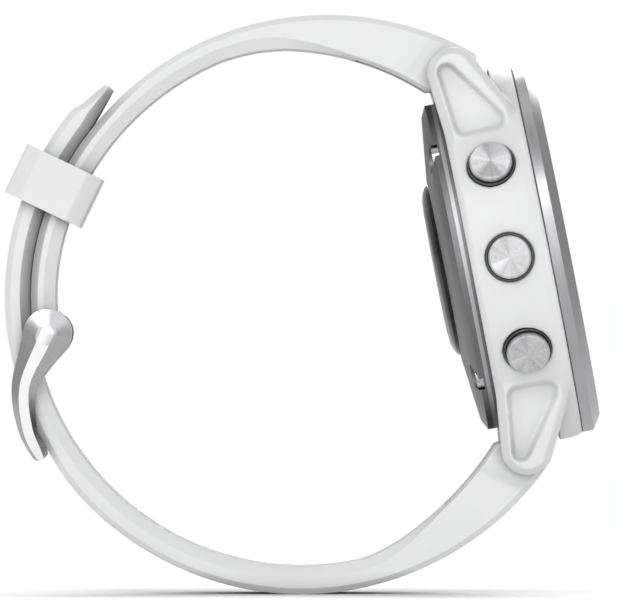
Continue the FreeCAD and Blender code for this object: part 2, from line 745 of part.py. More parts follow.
def latch_plate(sign):
    """The steel plate with rails that guides the latch."""
    top = joined([
        end_point(sign, 1.3, -0.85), end_point(sign, 1.3, -0.05),
        end_point(sign, 10.4, -0.05), end_point(sign, 10.4, -0.85),
    ])
    stop = joined([
        end_point(sign, 10.0, -2.3), end_point(sign, 10.0, -0.05),
        end_point(sign, 10.4, -0.05), end_point(sign, 10.4, -2.3),
    ])
    rail = joined([
        end_point(sign, 1.3, -2.5), end_point(sign, 1.3, -0.05),
        end_point(sign, 10.4, -0.05), end_point(sign, 10.4, -2.5),
    ])
    pieces = [slab(top, -PLATE_HALF, PLATE_HALF), slab(stop, -PLATE_HALF, PLATE_HALF)]
    pieces += [slab(rail, PLATE_HALF - 0.5, PLATE_HALF), slab(rail, -PLATE_HALF, 0.5 - PLATE_HALF)]
    return fuse(pieces)


def latch_slider(sign):
    """The sliding latch under the bar, with its ridged grip."""
    half = PLATE_HALF - 0.65
    floor = LATCH_FACE - LATCH_THICK
    plate = joined([
        end_point(sign, LATCH_TIP, LATCH_FACE), end_point(sign, LATCH_TAIL, LATCH_FACE),
        end_point(sign, LATCH_TAIL, floor), end_point(sign, LATCH_TIP + 0.3, floor),
    ])
    pieces = [slab(plate, -half, half)]
    for k in range(3):
        start = 3.0 + 0.85 * k
        ridge = joined([
            end_point(sign, start, floor + 0.1), end_point(sign, start + 0.6, floor + 0.1),
            end_point(sign, start + 0.5, floor - 0.75), end_point(sign, start + 0.1, floor - 0.75),
        ])
        pieces.append(slab(ridge, -4.4, 4.4))
    return fuse(pieces)


def latch_spring(sign):
    """The spring that keeps the latch under the bar."""
    start, end = end_point(sign, LATCH_TAIL + 0.03, -1.4), end_point(sign, 9.97, -1.4)
    spring = coil(0.3, 0.1, start.distanceToPoint(end), 7)
    spring.Placement = Placement(start, Rotation(Z, end.sub(start)))
    return spring


# ---------------------------------------------------------------- buckle and keeper
def buckle_pin():
    return across(PIN_X, PIN_Z, PIN_R, FRAME_OUT - 0.4)


def frame_arm_outline():
    """The comma shape of the buckle's side."""
    head = (PIN_X, PIN_Z)
    out = curve(
        [polar(head, FRAME_HEAD_R, 176), Vector(-32.6, 0, 23.5), Vector(-31.9, 0, 18.6),
         Vector(-30.0, 0, 15.1)],
        Vector(-0.3, 0, -1), Vector(0.75, 0, -0.66),
    )
    inside = curve(
        [Vector(-28.9, 0, 15.7), Vector(-29.75, 0, 18.9), Vector(-29.65, 0, 23.5),
         polar(head, FRAME_HEAD_R, 316)],
        Vector(-0.2, 0, 1), Vector(0.8, 0, 0.75),
    )
    return joined([arc(head, FRAME_HEAD_R, -44, 176), out, inside])


def buckle_frame():
    """Two side arms joined by the bar that the tongue rests on."""
    outline = frame_arm_outline()
    arms = [slab(outline, FRAME_IN, FRAME_OUT), slab(outline, -FRAME_OUT, -FRAME_IN)]
    bar = joined([
        Vector(-31.3, 0, 17.9), Vector(-30.05, 0, 18.0), Vector(-28.95, 0, 15.8),
        Vector(-29.7, 0, 15.1), Vector(-30.7, 0, 16.0),
    ])
    notch = box((-34, -TONGUE_GAP_HALF, 10), (-30.75, TONGUE_GAP_HALF, 22))
    cross_bar = slab(bar, -FRAME_IN - 0.5, FRAME_IN + 0.5).cut(notch)
    frame = fuse(arms + [cross_bar])
    return frame.cut(across(PIN_X, PIN_Z, PIN_R + 0.05, FRAME_OUT - 0.35))


def buckle_tongue():
    """The tongue: an eye on the pin and a curved blade on the far bar."""
    out = curve(
        [Vector(-29.9, 0, 28.75), Vector(-31.9, 0, 24.8), Vector(-32.45, 0, 21.0), Vector(-31.15, 0, 16.8)],
        Vector(-0.6, 0, -1), Vector(0.35, 0, -1),
    )
    inside = curve(
        [Vector(-30.8, 0, 16.95), Vector(-31.35, 0, 20.6), Vector(-30.75, 0, 24.3), Vector(-28.6, 0, 28.1)],
        Vector(-0.3, 0, 1), Vector(0.6, 0, 1),
    )
    blade = slab(joined([out, inside]), -TONGUE_HALF, TONGUE_HALF)
    eye = across(PIN_X, PIN_Z, 1.45, TONGUE_HALF)
    return fuse([blade, eye]).cut(across(PIN_X, PIN_Z, PIN_R + 0.05, 3))


def keeper():
    """The sliding loop: a straight block with a window that curves with the strap."""
    block = box(
        (KEEPER_R - KEEPER_DEEP / 2, -KEEPER_HALF, -KEEPER_LONG / 2),
        (KEEPER_R + KEEPER_DEEP / 2, KEEPER_HALF, KEEPER_LONG / 2),
    )
    corners = [
        e for e in block.Edges
        if abs(e.tangentAt(e.FirstParameter).z) > 0.99
    ]
    block = block.makeChamfer(1.0, corners)
    block.rotate(ORIGIN, Y, -KEEPER_AT)
    block.translate(Vector(REAR_CENTRE[0], 0, REAR_CENTRE[1]))
    low, high = KEEPER_AT - 9, KEEPER_AT + 9
    window = joined([
        arc(REAR_CENTRE, TAIL_SWELL + KEEPER_CLEAR, low, high),
        arc(REAR_CENTRE, REAR_IN - KEEPER_CLEAR, high, low),
    ])
    return block.cut(slab(window, -WINDOW_HALF, WINDOW_HALF))


# ---------------------------------------------------------------- the watch
def main():
    os.makedirs("parts", exist_ok=True)
    case_pieces = {
        "housing": housing(),
        "bezel_ring": bezel_ring(),
        "display_lens": display_lens(),
        "lens_gasket": lens_gasket(),
        "dial_ring": dial_ring(),
        "display_panel": display_panel(),
        "inner_frame": inner_frame(),
        "battery_cell": battery_cell(),
        "main_board": main_board(),
        "shield_can": shield_can(),
        "vibration_motor": vibration_motor(),
        "gps_antenna": gps_antenna(),
        "buzzer": buzzer(),
        "back_plate": back_plate(),
        "back_gasket": back_gasket(),
        "back_screws": back_screws(),
        "sensor_window": sensor_window(),
        "sensor_board": sensor_board(),
        "sensor_leds": sensor_leds(),
        "charge_socket": charge_socket(),
        "charge_contacts": charge_contacts(),
        "button_collars": button_collars(),
        "side_switches": side_switches(),
        "lug_bar_top": lug_bar(),
        "lug_bar_bottom": mirrored(lug_bar(), Z),
    }
    for name, angle, side in button_places():
        case_pieces["button_" + name] = along_radius(button(), angle, side)
        case_pieces["seal_" + name] = along_radius(button_seal(), angle, side)
        case_pieces["clip_" + name] = along_radius(button_clip(), angle, side)
        case_pieces["spring_" + name] = along_radius(button_spring(), angle, side)
    for name, shape in case_pieces.items():
        save(name, on_case(shape))
    for word, sign in (("top", 1), ("bottom", -1)):
        save("latch_plate_" + word, latch_plate(sign))
        save("latch_slider_" + word, latch_slider(sign))
        save("latch_spring_" + word, latch_spring(sign))
    save("strap_short", strap_short())
    save("strap_long", strap_long())
    save("buckle_pin", buckle_pin())
    save("buckle_frame", buckle_frame())
    save("buckle_tongue", buckle_tongue())
    save("keeper", keeper())


main()
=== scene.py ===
import json
import math

import bmesh
import bpy
from mathutils import Matrix, Vector


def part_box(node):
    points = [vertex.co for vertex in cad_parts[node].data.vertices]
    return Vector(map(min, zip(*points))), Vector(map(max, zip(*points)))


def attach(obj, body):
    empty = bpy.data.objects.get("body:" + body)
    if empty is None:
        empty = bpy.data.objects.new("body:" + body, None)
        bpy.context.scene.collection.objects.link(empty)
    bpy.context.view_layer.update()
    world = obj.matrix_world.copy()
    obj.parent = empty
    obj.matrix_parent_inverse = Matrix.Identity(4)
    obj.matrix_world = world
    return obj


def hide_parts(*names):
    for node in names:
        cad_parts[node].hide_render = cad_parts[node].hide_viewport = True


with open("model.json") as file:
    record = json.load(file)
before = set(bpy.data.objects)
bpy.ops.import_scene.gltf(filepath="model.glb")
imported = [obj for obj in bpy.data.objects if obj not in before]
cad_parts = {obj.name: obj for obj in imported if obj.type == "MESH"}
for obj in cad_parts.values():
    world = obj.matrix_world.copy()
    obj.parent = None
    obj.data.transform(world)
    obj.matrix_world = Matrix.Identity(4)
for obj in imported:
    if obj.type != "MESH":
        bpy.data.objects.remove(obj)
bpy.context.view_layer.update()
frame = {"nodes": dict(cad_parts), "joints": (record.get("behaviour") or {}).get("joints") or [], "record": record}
record = frame["record"]

MM = 0.001
MOUNTS = {m["name"]: m for m in record["mounts"]}
JOINTS = {j["name"]: j for j in frame["joints"]}

# ---------------------------------------------------------------- places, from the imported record
DIAL_OUT = Vector(MOUNTS["glass_face"]["axis"]).normalized()
DIAL_UP = Vector((-DIAL_OUT.z, 0, DIAL_OUT.x))
ACROSS = Vector((0, 1, 0))
GLASS_FRONT = 1.9            # height of the glass over the bezel seam, mm
CASE_ORIGIN = Vector(MOUNTS["glass_face"]["pos_m"]) - DIAL_OUT * GLASS_FRONT * MM
CASE = Matrix.Translation(CASE_ORIGIN) @ Matrix((DIAL_OUT, ACROSS, DIAL_UP)).transposed().to_4x4()

# side view of the strap, mm, as in the CAD
TOP_CENTRE, TOP_OUT, TOP_IN = (2.89, 31.40), 33.85, 31.05
REAR_CENTRE = (-2.00, 33.60)
CENTRE_STEP = math.dist(TOP_CENTRE, REAR_CENTRE)
REAR_OUT, REAR_IN = TOP_OUT - CENTRE_STEP, TOP_IN - CENTRE_STEP
LOW_CENTRE, LOW_OUT, LOW_IN = (0.00, 33.70), 33.70, 30.60
TANGENT_AT = math.degrees(math.atan2(REAR_CENTRE[1] - TOP_CENTRE[1], REAR_CENTRE[0] - TOP_CENTRE[0]))
TAIL_OUT, TAIL_GAP = 31.40, 0.07
TAIL_SWELL, TAIL_SWELL_AT = 31.70, 138.5
TAIL_TIP_OUT, TAIL_TIP_IN, TAIL_TIP_AT = 31.20, 30.15, 129.7
STRAP_HALF, STRAP_END_HALF = 9.0, 9.9
DIRECTION = {1: 157.0, -1: 230.8}        # the way each strap half leaves its lug bar, degrees
SHORT_KINK, LONG_KINK = 105.8, 285.7     # where the thick lug ends meet the even thickness
SHORT_FROM, LONG_FROM = 62.5, 326.1      # where the outer lines start, at the lugs
EYE_AT = 188.9                           # start of the rounded end round the buckle's pin
TAIL_LEAVES, TAIL_JOINS, TAIL_EVEN = 222.0, 190.0, 163.0
PIN = Vector(JOINTS["buckle_swing"]["pos_m"]) / MM


# ---------------------------------------------------------------- node helpers
class Shader:
    """A small helper for writing node trees."""

    def __init__(self, name):
        self.mat = bpy.data.materials.new(name)
        self.mat.use_nodes = True
        self.tree = self.mat.node_tree
        self.bsdf = self.tree.nodes["Principled BSDF"]

    def node(self, kind, **settings):
        n = self.tree.nodes.new(kind)
        for key, value in settings.items():
            setattr(n, key, value)
        return n

    def link(self, a, b):
        self.tree.links.new(a, b)

    def value(self, socket, value):
        self.bsdf.inputs[socket].default_value = value

    def math(self, operation, a, b=None):
        n = self.node("ShaderNodeMath", operation=operation)
        for index, item in enumerate((a, b)):
            if item is None:
                continue
            if isinstance(item, (int, float)):
                n.inputs[index].default_value = item
            else:
                self.link(item, n.inputs[index])
        return n.outputs[0]

    def coords(self):
        return self.node("ShaderNodeTexCoord").outputs["Object"]

    def noise(self, vector, scale, detail=2.0, rough=0.5):
        n = self.node("ShaderNodeTexNoise")
        n.inputs["Scale"].default_value = scale
        n.inputs["Detail"].default_value = detail
        n.inputs["Roughness"].default_value = rough
        self.link(vector, n.inputs["Vector"])
        return n.outputs["Fac"]

    def ranged(self, value, low, high, from_low=0.3, from_high=0.7):
        n = self.node("ShaderNodeMapRange")
        self.link(value, n.inputs["Value"])
        n.inputs["From Min"].default_value = from_low
        n.inputs["From Max"].default_value = from_high
        n.inputs["To Min"].default_value = low
        n.inputs["To Max"].default_value = high
        return n.outputs[0]

    def tint(self, value, dark, light):
        n = self.node("ShaderNodeMix", data_type="RGBA")
        self.link(value, n.inputs["Factor"])
        for socket, colour in (("A", dark), ("B", light)):
            if isinstance(colour, tuple):
                n.inputs[socket].default_value = (*colour, 1)
            else:
                self.link(colour, n.inputs[socket])
        return n.outputs["Result"]

    def bump(self, height, strength, distance):
        n = self.node("ShaderNodeBump")
        n.inputs["Strength"].default_value = strength
        n.inputs["Distance"].default_value = distance
        self.link(height, n.inputs["Height"])
        self.link(n.outputs[0], self.bsdf.inputs["Normal"])
        return n

    def round_coords(self, along, ring, turn):
        """Coordinates about the piece's local X axis, stretched so that noise runs round it."""
        split = self.node("ShaderNodeSeparateXYZ")
        self.link(self.coords(), split.inputs[0])
        radius = self.math("SQRT", self.math(
            "ADD",
            self.math("MULTIPLY", split.outputs[1], split.outputs[1]),
            self.math("MULTIPLY", split.outputs[2], split.outputs[2]),
        ))
        angle = self.math("ARCTAN2", split.outputs[2], split.outputs[1])
        join = self.node("ShaderNodeCombineXYZ")
        self.link(self.math("MULTIPLY", split.outputs[0], along), join.inputs[0])
        self.link(self.math("MULTIPLY", radius, ring), join.inputs[1])
        self.link(self.math("MULTIPLY", angle, turn), join.inputs[2])
        return join.outputs[0]


def soft_plastic(name, dark, light, rough, grain, grain_depth, sheen=0.0, hollow_shade=0.0, gloss=0.4):
    """Matt moulded material: fine grain, slight clouding, uneven gloss, and painted shade that darkens its colour
    in its hollows.
    """
    s = Shader(name)
    where = s.coords()
    cloud = s.noise(where, 110, 3)
    paint = s.tint(s.ranged(cloud, 0, 1), dark, light)
    # painted shade: the base colour is darkened towards a dimmed dark tone in hollows and creases, where the
    # ambient occlusion mask is low
    if hollow_shade:
        shade_occlusion = s.node("ShaderNodeAmbientOcclusion", samples=8)
        shade_occlusion.inputs["Distance"].default_value = 0.0028
        paint = s.tint(s.ranged(shade_occlusion.outputs["AO"], 1.0, 0.0, 0.4, 0.98), paint,
                       tuple(c * (1 - hollow_shade) for c in dark))
    s.link(paint, s.bsdf.inputs["Base Color"])
    s.link(s.ranged(s.noise(where, 420, 4), rough - 0.06, rough + 0.06), s.bsdf.inputs["Roughness"])
    s.bump(s.noise(where, grain, 3, 0.6), 0.2, grain_depth)
    s.value("Sheen Weight", sheen)
    s.value("Specular IOR Level", gloss)
    return s.mat


def metal(name, dark, light, rough, scratch=900.0, depth=1e-6):
    """Steel with fine random graining."""
    s = Shader(name)
    where = s.coords()
    s.link(s.tint(s.ranged(s.noise(where, 220, 3), 0, 1), dark, light), s.bsdf.inputs["Base Color"])
    grain = s.noise(where, scratch, 3, 0.5)
    s.link(s.ranged(grain, rough - 0.03, rough + 0.04), s.bsdf.inputs["Roughness"])
    s.bump(grain, 0.08, depth)
    s.value("Metallic", 1.0)
    return s.mat


def turned_metal(name, dark, light, rough, anisotropy, ring=5000.0, turn=3.0, depth=1e-6, rays=0.0):
    """Steel brushed round the piece's local X axis; rays is how strongly pale wedges are painted into its colour,
    a painted reflection of the brushing's fanned highlights.
    """
    s = Shader(name)
    streak = s.noise(s.round_coords(ring, ring, turn), 1.0, 2, 0.6)
    patch = s.noise(s.round_coords(40, 40, 2.2), 1.0, 2)
    mixed = s.math("ADD", s.math("MULTIPLY", streak, 0.6), s.math("MULTIPLY", patch, 0.4))
    # painted reflection: pale and dark wedges by angle round the axis are added to the base colour to stand in for
    # the fanned highlights of brushed metal
    if rays:
        flat = s.node("ShaderNodeVectorMath", operation="MULTIPLY")
        s.link(s.coords(), flat.inputs[0])
        flat.inputs[1].default_value = (0, 1, 1)
        ray = s.node("ShaderNodeVectorMath", operation="NORMALIZE")
        s.link(flat.outputs[0], ray.inputs[0])
        painted_wedge_glint = s.ranged(s.noise(ray.outputs[0], 2.6, 1, 0.4), -rays, rays, 0.4, 0.6)
        mixed = s.math("ADD", mixed, painted_wedge_glint)
    s.link(s.tint(s.ranged(mixed, 0, 1, 0.35, 0.65), dark, light), s.bsdf.inputs["Base Color"])
    s.link(s.ranged(streak, rough - 0.03, rough + 0.04), s.bsdf.inputs["Roughness"])
    s.bump(streak, 0.12, depth)
    s.value("Metallic", 1.0)
    s.value("Anisotropic", anisotropy)
    tangent = s.node("ShaderNodeTangent", direction_type="RADIAL", axis="X")
    s.link(tangent.outputs[0], s.bsdf.inputs["Tangent"])
    return s.mat


MATS = {
    # case_polymer, strap_silicone and strap_inner are darkened in their hollows by painted shade (0.5, 0.34 and
    # 0.25)
    "case_polymer": soft_plastic("case_polymer", (0.855, 0.857, 0.86), (0.88, 0.882, 0.885), 0.42,
                                 5200, 3e-6, 0.0, 0.5),
    "strap_silicone": soft_plastic("strap_silicone", (0.85, 0.852, 0.855), (0.875, 0.877, 0.88), 0.55,
                                   3800, 4e-6, 0.05, 0.34),
    "strap_inner": soft_plastic("strap_inner", (0.85, 0.852, 0.855), (0.875, 0.877, 0.88), 0.75,
                                900, 1e-6, 0.0, 0.25, 0.1),
    "bezel_steel": turned_metal("bezel_steel", (0.44, 0.44, 0.45), (0.51, 0.51, 0.52), 0.30, 0.5),
    # the button caps' last number paints pale wedges into their colour: a painted reflection of their brushed
    # highlights
    "button_steel": turned_metal("button_steel", (0.64, 0.64, 0.65), (0.82, 0.82, 0.83), 0.50, 0.7,
                                 5000, 2.0, 1e-6, 0.12),
    "back_steel": turned_metal("back_steel", (0.20, 0.20, 0.205), (0.26, 0.26, 0.265), 0.42, 0.3),
    "dial_marks": soft_plastic("dial_marks", (0.62, 0.64, 0.64), (0.70, 0.72, 0.72), 0.5, 4000, 1e-6),
    # the collars are real parts, but their near-black tone is painted shade standing in for the shadowed gap round
    # each button cap
    "collar_steel": turned_metal("collar_steel", (0.10, 0.10, 0.105), (0.15, 0.15, 0.155), 0.4, 0.0),
    "screw_steel": metal("screw_steel", (0.50, 0.50, 0.51), (0.66, 0.66, 0.67), 0.27),
    "bar_steel": metal("bar_steel", (0.50, 0.50, 0.51), (0.64, 0.64, 0.65), 0.25),
    "buckle_steel": metal("buckle_steel", (0.50, 0.50, 0.51), (0.57, 0.57, 0.58), 0.24),
    # buckle_face is a lighter copy of the buckle steel: the flat face's polish is real, its whiter colour a
    # painted highlight
    "buckle_face": metal("buckle_face", (0.72, 0.72, 0.72), (0.77, 0.77, 0.77), 0.22),
    "back_rim": turned_metal("back_rim", (0.50, 0.50, 0.51), (0.58, 0.58, 0.59), 0.42, 0.3),
    "latch_steel": metal("latch_steel", (0.30, 0.30, 0.31), (0.40, 0.40, 0.41), 0.36),
    "spring_steel": metal("spring_steel", (0.55, 0.55, 0.56), (0.70, 0.70, 0.71), 0.25),
    "motor_steel": metal("motor_steel", (0.55, 0.55, 0.56), (0.70, 0.70, 0.71), 0.3),
    "tin_plate": metal("tin_plate", (0.60, 0.60, 0.58), (0.74, 0.74, 0.72), 0.32),
    "battery_foil": metal("battery_foil", (0.62, 0.63, 0.65), (0.78, 0.79, 0.81), 0.35, 900, 2e-5),
    "antenna": metal("antenna", (0.62, 0.44, 0.20), (0.78, 0.60, 0.32), 0.3),
    "black_seal": soft_plastic("black_seal", (0.012, 0.012, 0.012), (0.03, 0.03, 0.03), 0.6, 3000, 4e-6),
    "inner_frame": soft_plastic("inner_frame", (0.03, 0.03, 0.032), (0.055, 0.055, 0.06), 0.5, 2600, 6e-6),
    "dial_ring": soft_plastic("dial_ring", (0.012, 0.012, 0.014), (0.022, 0.022, 0.026), 0.42, 5000, 3e-6),
    "circuit_board": soft_plastic("circuit_board", (0.01, 0.09, 0.045), (0.02, 0.14, 0.075), 0.35,
                                  1500, 8e-6),
    "sensor_leds": soft_plastic("sensor_leds", (0.25, 0.60, 0.32), (0.40, 0.80, 0.50), 0.2, 2000, 2e-6),
}


# ---------------------------------------------------------------- mesh helpers
def new_piece(name, verts, faces, material, body, replaces=(), place=None, sharp=32.0):
    """A finished piece from vertices in mm, riding on a body."""
    mesh = bpy.data.meshes.new(name)
    mesh.from_pydata([Vector(v) * MM for v in verts], [], faces)
    obj = bpy.data.objects.new(name, mesh)
    bpy.context.scene.collection.objects.link(obj)
    return finished(obj, material, body, replaces, place, sharp)


def finished(obj, material, body, replaces=(), place=None, sharp=32.0):
    """Clean the mesh, give it its material and hang it on its body."""
    mesh = obj.data
    bm = bmesh.new()
    bm.from_mesh(mesh)
    bmesh.ops.remove_doubles(bm, verts=bm.verts, dist=1e-7)
    bmesh.ops.recalc_face_normals(bm, faces=bm.faces)
    bm.to_mesh(mesh)
    bm.free()
    mesh.materials.clear()
    mesh.materials.append(MATS[material])
    smooth(mesh, sharp)
    if place is not None:
        obj.matrix_world = place
    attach(obj, body)
    if replaces:
        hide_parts(*replaces)
    return obj


def smooth(mesh, sharp):
    """Smooth shading with sharp edges over the given angle."""
    mesh.shade_smooth()
    mesh.set_sharp_from_angle(angle=math.radians(sharp))


def second_material(obj, name, chosen):
    """Give the faces that are chosen by centre and normal another finish."""
    obj.data.materials.append(MATS[name])
    for face in obj.data.polygons:
        if chosen(face.center, face.normal):
            face.material_index = 1


def bevelled(obj, width, segments=3, angle=28.0):
    """Round the sharp edges of a piece."""
    mod = obj.modifiers.new("edges", "BEVEL")
    mod.width = width * MM
    mod.segments = segments
    mod.limit_method = "ANGLE"
    mod.angle_limit = math.radians(angle)
    mod.harden_normals = True
    return obj


def applied(obj):
    """Bake an object's modifiers into its mesh."""
    graph = bpy.context.evaluated_depsgraph_get()
    mesh = bpy.data.meshes.new_from_object(obj.evaluated_get(graph))
    obj.modifiers.clear()
    obj.data = mesh
    return obj


def plain(name, verts, faces, place=None):
    """A working mesh object, in mm, that is not kept."""
    mesh = bpy.data.meshes.new(name)
    mesh.from_pydata([Vector(v) * MM for v in verts], [], faces)
    obj = bpy.data.objects.new(name, mesh)
    bpy.context.scene.collection.objects.link(obj)
    if place is not None:
        obj.matrix_world = place
    bm = bmesh.new()
    bm.from_mesh(mesh)
    bmesh.ops.recalc_face_normals(bm, faces=bm.faces)
    bm.to_mesh(mesh)
    bm.free()
    return obj


def cut(obj, tools):
    """Cut working objects out of a piece and drop them."""
    for tool in tools:
        mod = obj.modifiers.new("cut", "BOOLEAN")
        mod.operation = "DIFFERENCE"
        mod.solver = "EXACT"
        mod.object = tool
    bpy.context.view_layer.update()
    applied(obj)
    for tool in tools:
        bpy.data.objects.remove(tool)
    return obj


def even_shading(obj):
    """Let the large faces decide the shading of a piece with holes in it."""
    mod = obj.modifiers.new("shading", "WEIGHTED_NORMAL")
    mod.keep_sharp = True
    mod.weight = 100
    return obj


def lathe(profile, steps=160):
    """Vertices and faces of a closed outline (depth, radius) turned about local X."""
    verts, faces, rings = [], [], []
    for u, r in profile:
        if r < 1e-6:
            rings.append([len(verts)] * steps)
            verts.append((u, 0, 0))
            continue
        rings.append(list(range(len(verts), len(verts) + steps)))
        for k in range(steps):
            a = 2 * math.pi * k / steps
            verts.append((u, r * math.cos(a), r * math.sin(a)))
    for i, ring in enumerate(rings):
        following = rings[(i + 1) % len(rings)]
        for k in range(steps):
            n = (k + 1) % steps
            face = [ring[k], ring[n], following[n], following[k]]
            face = list(dict.fromkeys(face))
            if len(face) > 2:
                faces.append(face)
    return verts, faces


def cylinder(radius, length, place, steps=48):
    """A working cylinder from the place's origin along its local X."""
    verts, faces = lathe([(0, 0), (0, radius), (length, radius), (length, 0)], steps)
    return plain("tool", verts, faces, place)


def prism(outline, low, high, place=None):
    """A working prism: a side view outline in mm between two widths."""
    n = len(outline)
    verts = [(x, low, z) for x, z in outline] + [(x, high, z) for x, z in outline]
    faces = [list(range(n)), list(range(2 * n - 1, n - 1, -1))]
    faces += [[k, (k + 1) % n, n + (k + 1) % n, n + k] for k in range(n)]
    return plain("tool", verts, faces, place)


def polar(centre, radius, angle):
    a = math.radians(angle)
    return Vector((centre[0] + radius * math.cos(a), centre[1] + radius * math.sin(a)))


def arc(centre, radius, start, end, count):
    """Points along an arc of the side view, both ends included."""
    return [polar(centre, radius, start + (end - start) * k / count) for k in range(count + 1)]


def through_arc(a, b, c, count):
    """Points of the circle through three side view points, from the first to the last."""
    ax, ay, bx, by, cx, cy = *a, *b, *c
    d = 2 * (ax * (by - cy) + bx * (cy - ay) + cx * (ay - by))
    sa, sb, sc = ax * ax + ay * ay, bx * bx + by * by, cx * cx + cy * cy
    centre = Vector((
        (sa * (by - cy) + sb * (cy - ay) + sc * (ay - by)) / d,
        (sa * (cx - bx) + sb * (ax - cx) + sc * (bx - ax)) / d,
    ))
    start = math.degrees(math.atan2(ay - centre.y, ax - centre.x))
    end = math.degrees(math.atan2(cy - centre.y, cx - centre.x))
    end += 360 * round((start - end) / 360)
    return arc(centre, math.dist(a, centre), start, end, count)


def hermite(a, way_a, b, way_b, count):
    """Points of a smooth curve between two side view points."""
    points = []
    for k in range(count + 1):
        t = k / count
        points.append(
            a * (2 * t ** 3 - 3 * t ** 2 + 1) + way_a * (t ** 3 - 2 * t ** 2 + t)
            + b * (-2 * t ** 3 + 3 * t ** 2) + way_b * (t ** 3 - t ** 2)
        )
    return points


def direction(angle):
    a = math.radians(angle)
    return Vector((math.cos(a), math.sin(a)))


def nearest(points, at):
    """The closest point to at on a polyline."""
    best, found = 1e9, points[0]
    for p, q in zip(points, points[1:]):
        step = q - p
        t = max(0.0, min(1.0, (at - p).dot(step) / max(step.dot(step), 1e-12)))
        c = p + step * t
        if (c - at).length < best:
            best, found = (c - at).length, c
    return found


# ---------------------------------------------------------------- strap
BAR = {}
for sign, node in ((1, "lug_bar_top"), (-1, "lug_bar_bottom")):
    low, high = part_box(node)
    BAR[sign] = Vector(((low.x + high.x) / 2, (low.z + high.z) / 2)) / MM


def by_bar(sign, along, out):
    """A side view point near a lug bar, along the strap and out from the wrist."""
    d = direction(DIRECTION[sign])
    n = Vector((d.y, -d.x)) * sign
    return BAR[sign] + d * along + n * out


def rounded_section(points, radius, steps=3):
    """A closed section with every corner rounded."""
    result = []
    count = len(points)
    for i in range(count):
        before, here, after = points[i - 1], points[i], points[(i + 1) % count]
        a, b = before - here, after - here
        r = min(radius, a.length * 0.45, b.length * 0.45)
        start, end = here + a.normalized() * r, here + b.normalized() * r
        for k in range(steps + 1):
            t = k / steps
            result.append(start.lerp(here, t).lerp(here.lerp(end, t), t))
    return result


def swept(stations, round_to=0.1):
    """Vertices and faces of a strap from (outer point, inner point, half width, chamfers)."""
    verts, faces, size = [], [], None
    for outer, inner, half, out_cut, in_cut, out_run, in_run in stations:
        thick = (outer - inner).length
        up = (outer - inner) / thick
        corners = [
            (half - out_run, thick), (half, thick - out_cut), (half, in_cut), (half - in_run, 0),
            (-half + in_run, 0), (-half, in_cut), (-half, thick - out_cut), (-half + out_run, thick),
        ]
        loop = rounded_section([Vector(c) for c in corners], round_to)
        size = len(loop)
        for y, t in loop:
            p = inner + up * t
            verts.append((p.x, y, p.y))
    rows = len(stations)
    for i in range(rows - 1):
        for k in range(size):
            n = (k + 1) % size
            faces.append([i * size + k, i * size + n, (i + 1) * size + n, (i + 1) * size + k])
    faces.append(list(range(size)))
    faces.append(list(range(rows * size - 1, (rows - 1) * size - 1, -1)))
    return verts, faces


def end_half(sign, outer):
    """Half width of a strap: wider between the lugs."""
    if (outer - BAR[sign]).length > 12:
        return STRAP_HALF
    along = (outer - BAR[sign]).dot(direction(DIRECTION[sign]))
    t = max(0.0, min(1.0, (along - 2.3) / 1.6))
    t = t * t * (3 - 2 * t)
    return STRAP_END_HALF + (STRAP_HALF - STRAP_END_HALF) * t


def ease(points, at, reach=5, rounds=24):
    """Round the corner of a line at one of its points."""
    for _ in range(rounds):
        for k in range(at - reach, at + reach + 1):
            points[k] = (points[k - 1] + points[k] * 2 + points[k + 1]) / 4


def inner_chamfer(thick, most):
    """How far the chamfer towards the wrist reaches: wide on the thin stretch, narrow near the lugs."""
    return min(most - 1.05 * max(0.0, min(1.0, (thick - 3.2) / 1.8)), thick * 0.48)


def end_tools(sign):
    """What is cut from a strap's end: the bar's slot and the latch pocket."""
    slot = [by_bar(sign, 1.05, -6), by_bar(sign, 1.05, 0)]
    for k in range(1, 12):
        a = math.pi * k / 12
        slot.append(by_bar(sign, 1.05 * math.cos(a), 1.05 * math.sin(a)))
    slot += [by_bar(sign, -1.05, 0), by_bar(sign, -1.05, -6)]
    pocket = [by_bar(sign, 0, 0), by_bar(sign, 10.6, 0), by_bar(sign, 10.6, -7), by_bar(sign, 0, -7)]
    return [prism(slot, -14, 14), prism(pocket, -7.1, 7.1)]


def faces_wrist(at, normal):
    """Whether a strap's face lies against the wrist."""
    inward = Vector((REAR_CENTRE[0] * MM - at.x, 0, REAR_CENTRE[1] * MM - at.z)).normalized()
    return abs(normal.y) < 0.05 and normal.dot(inward) > 0.85


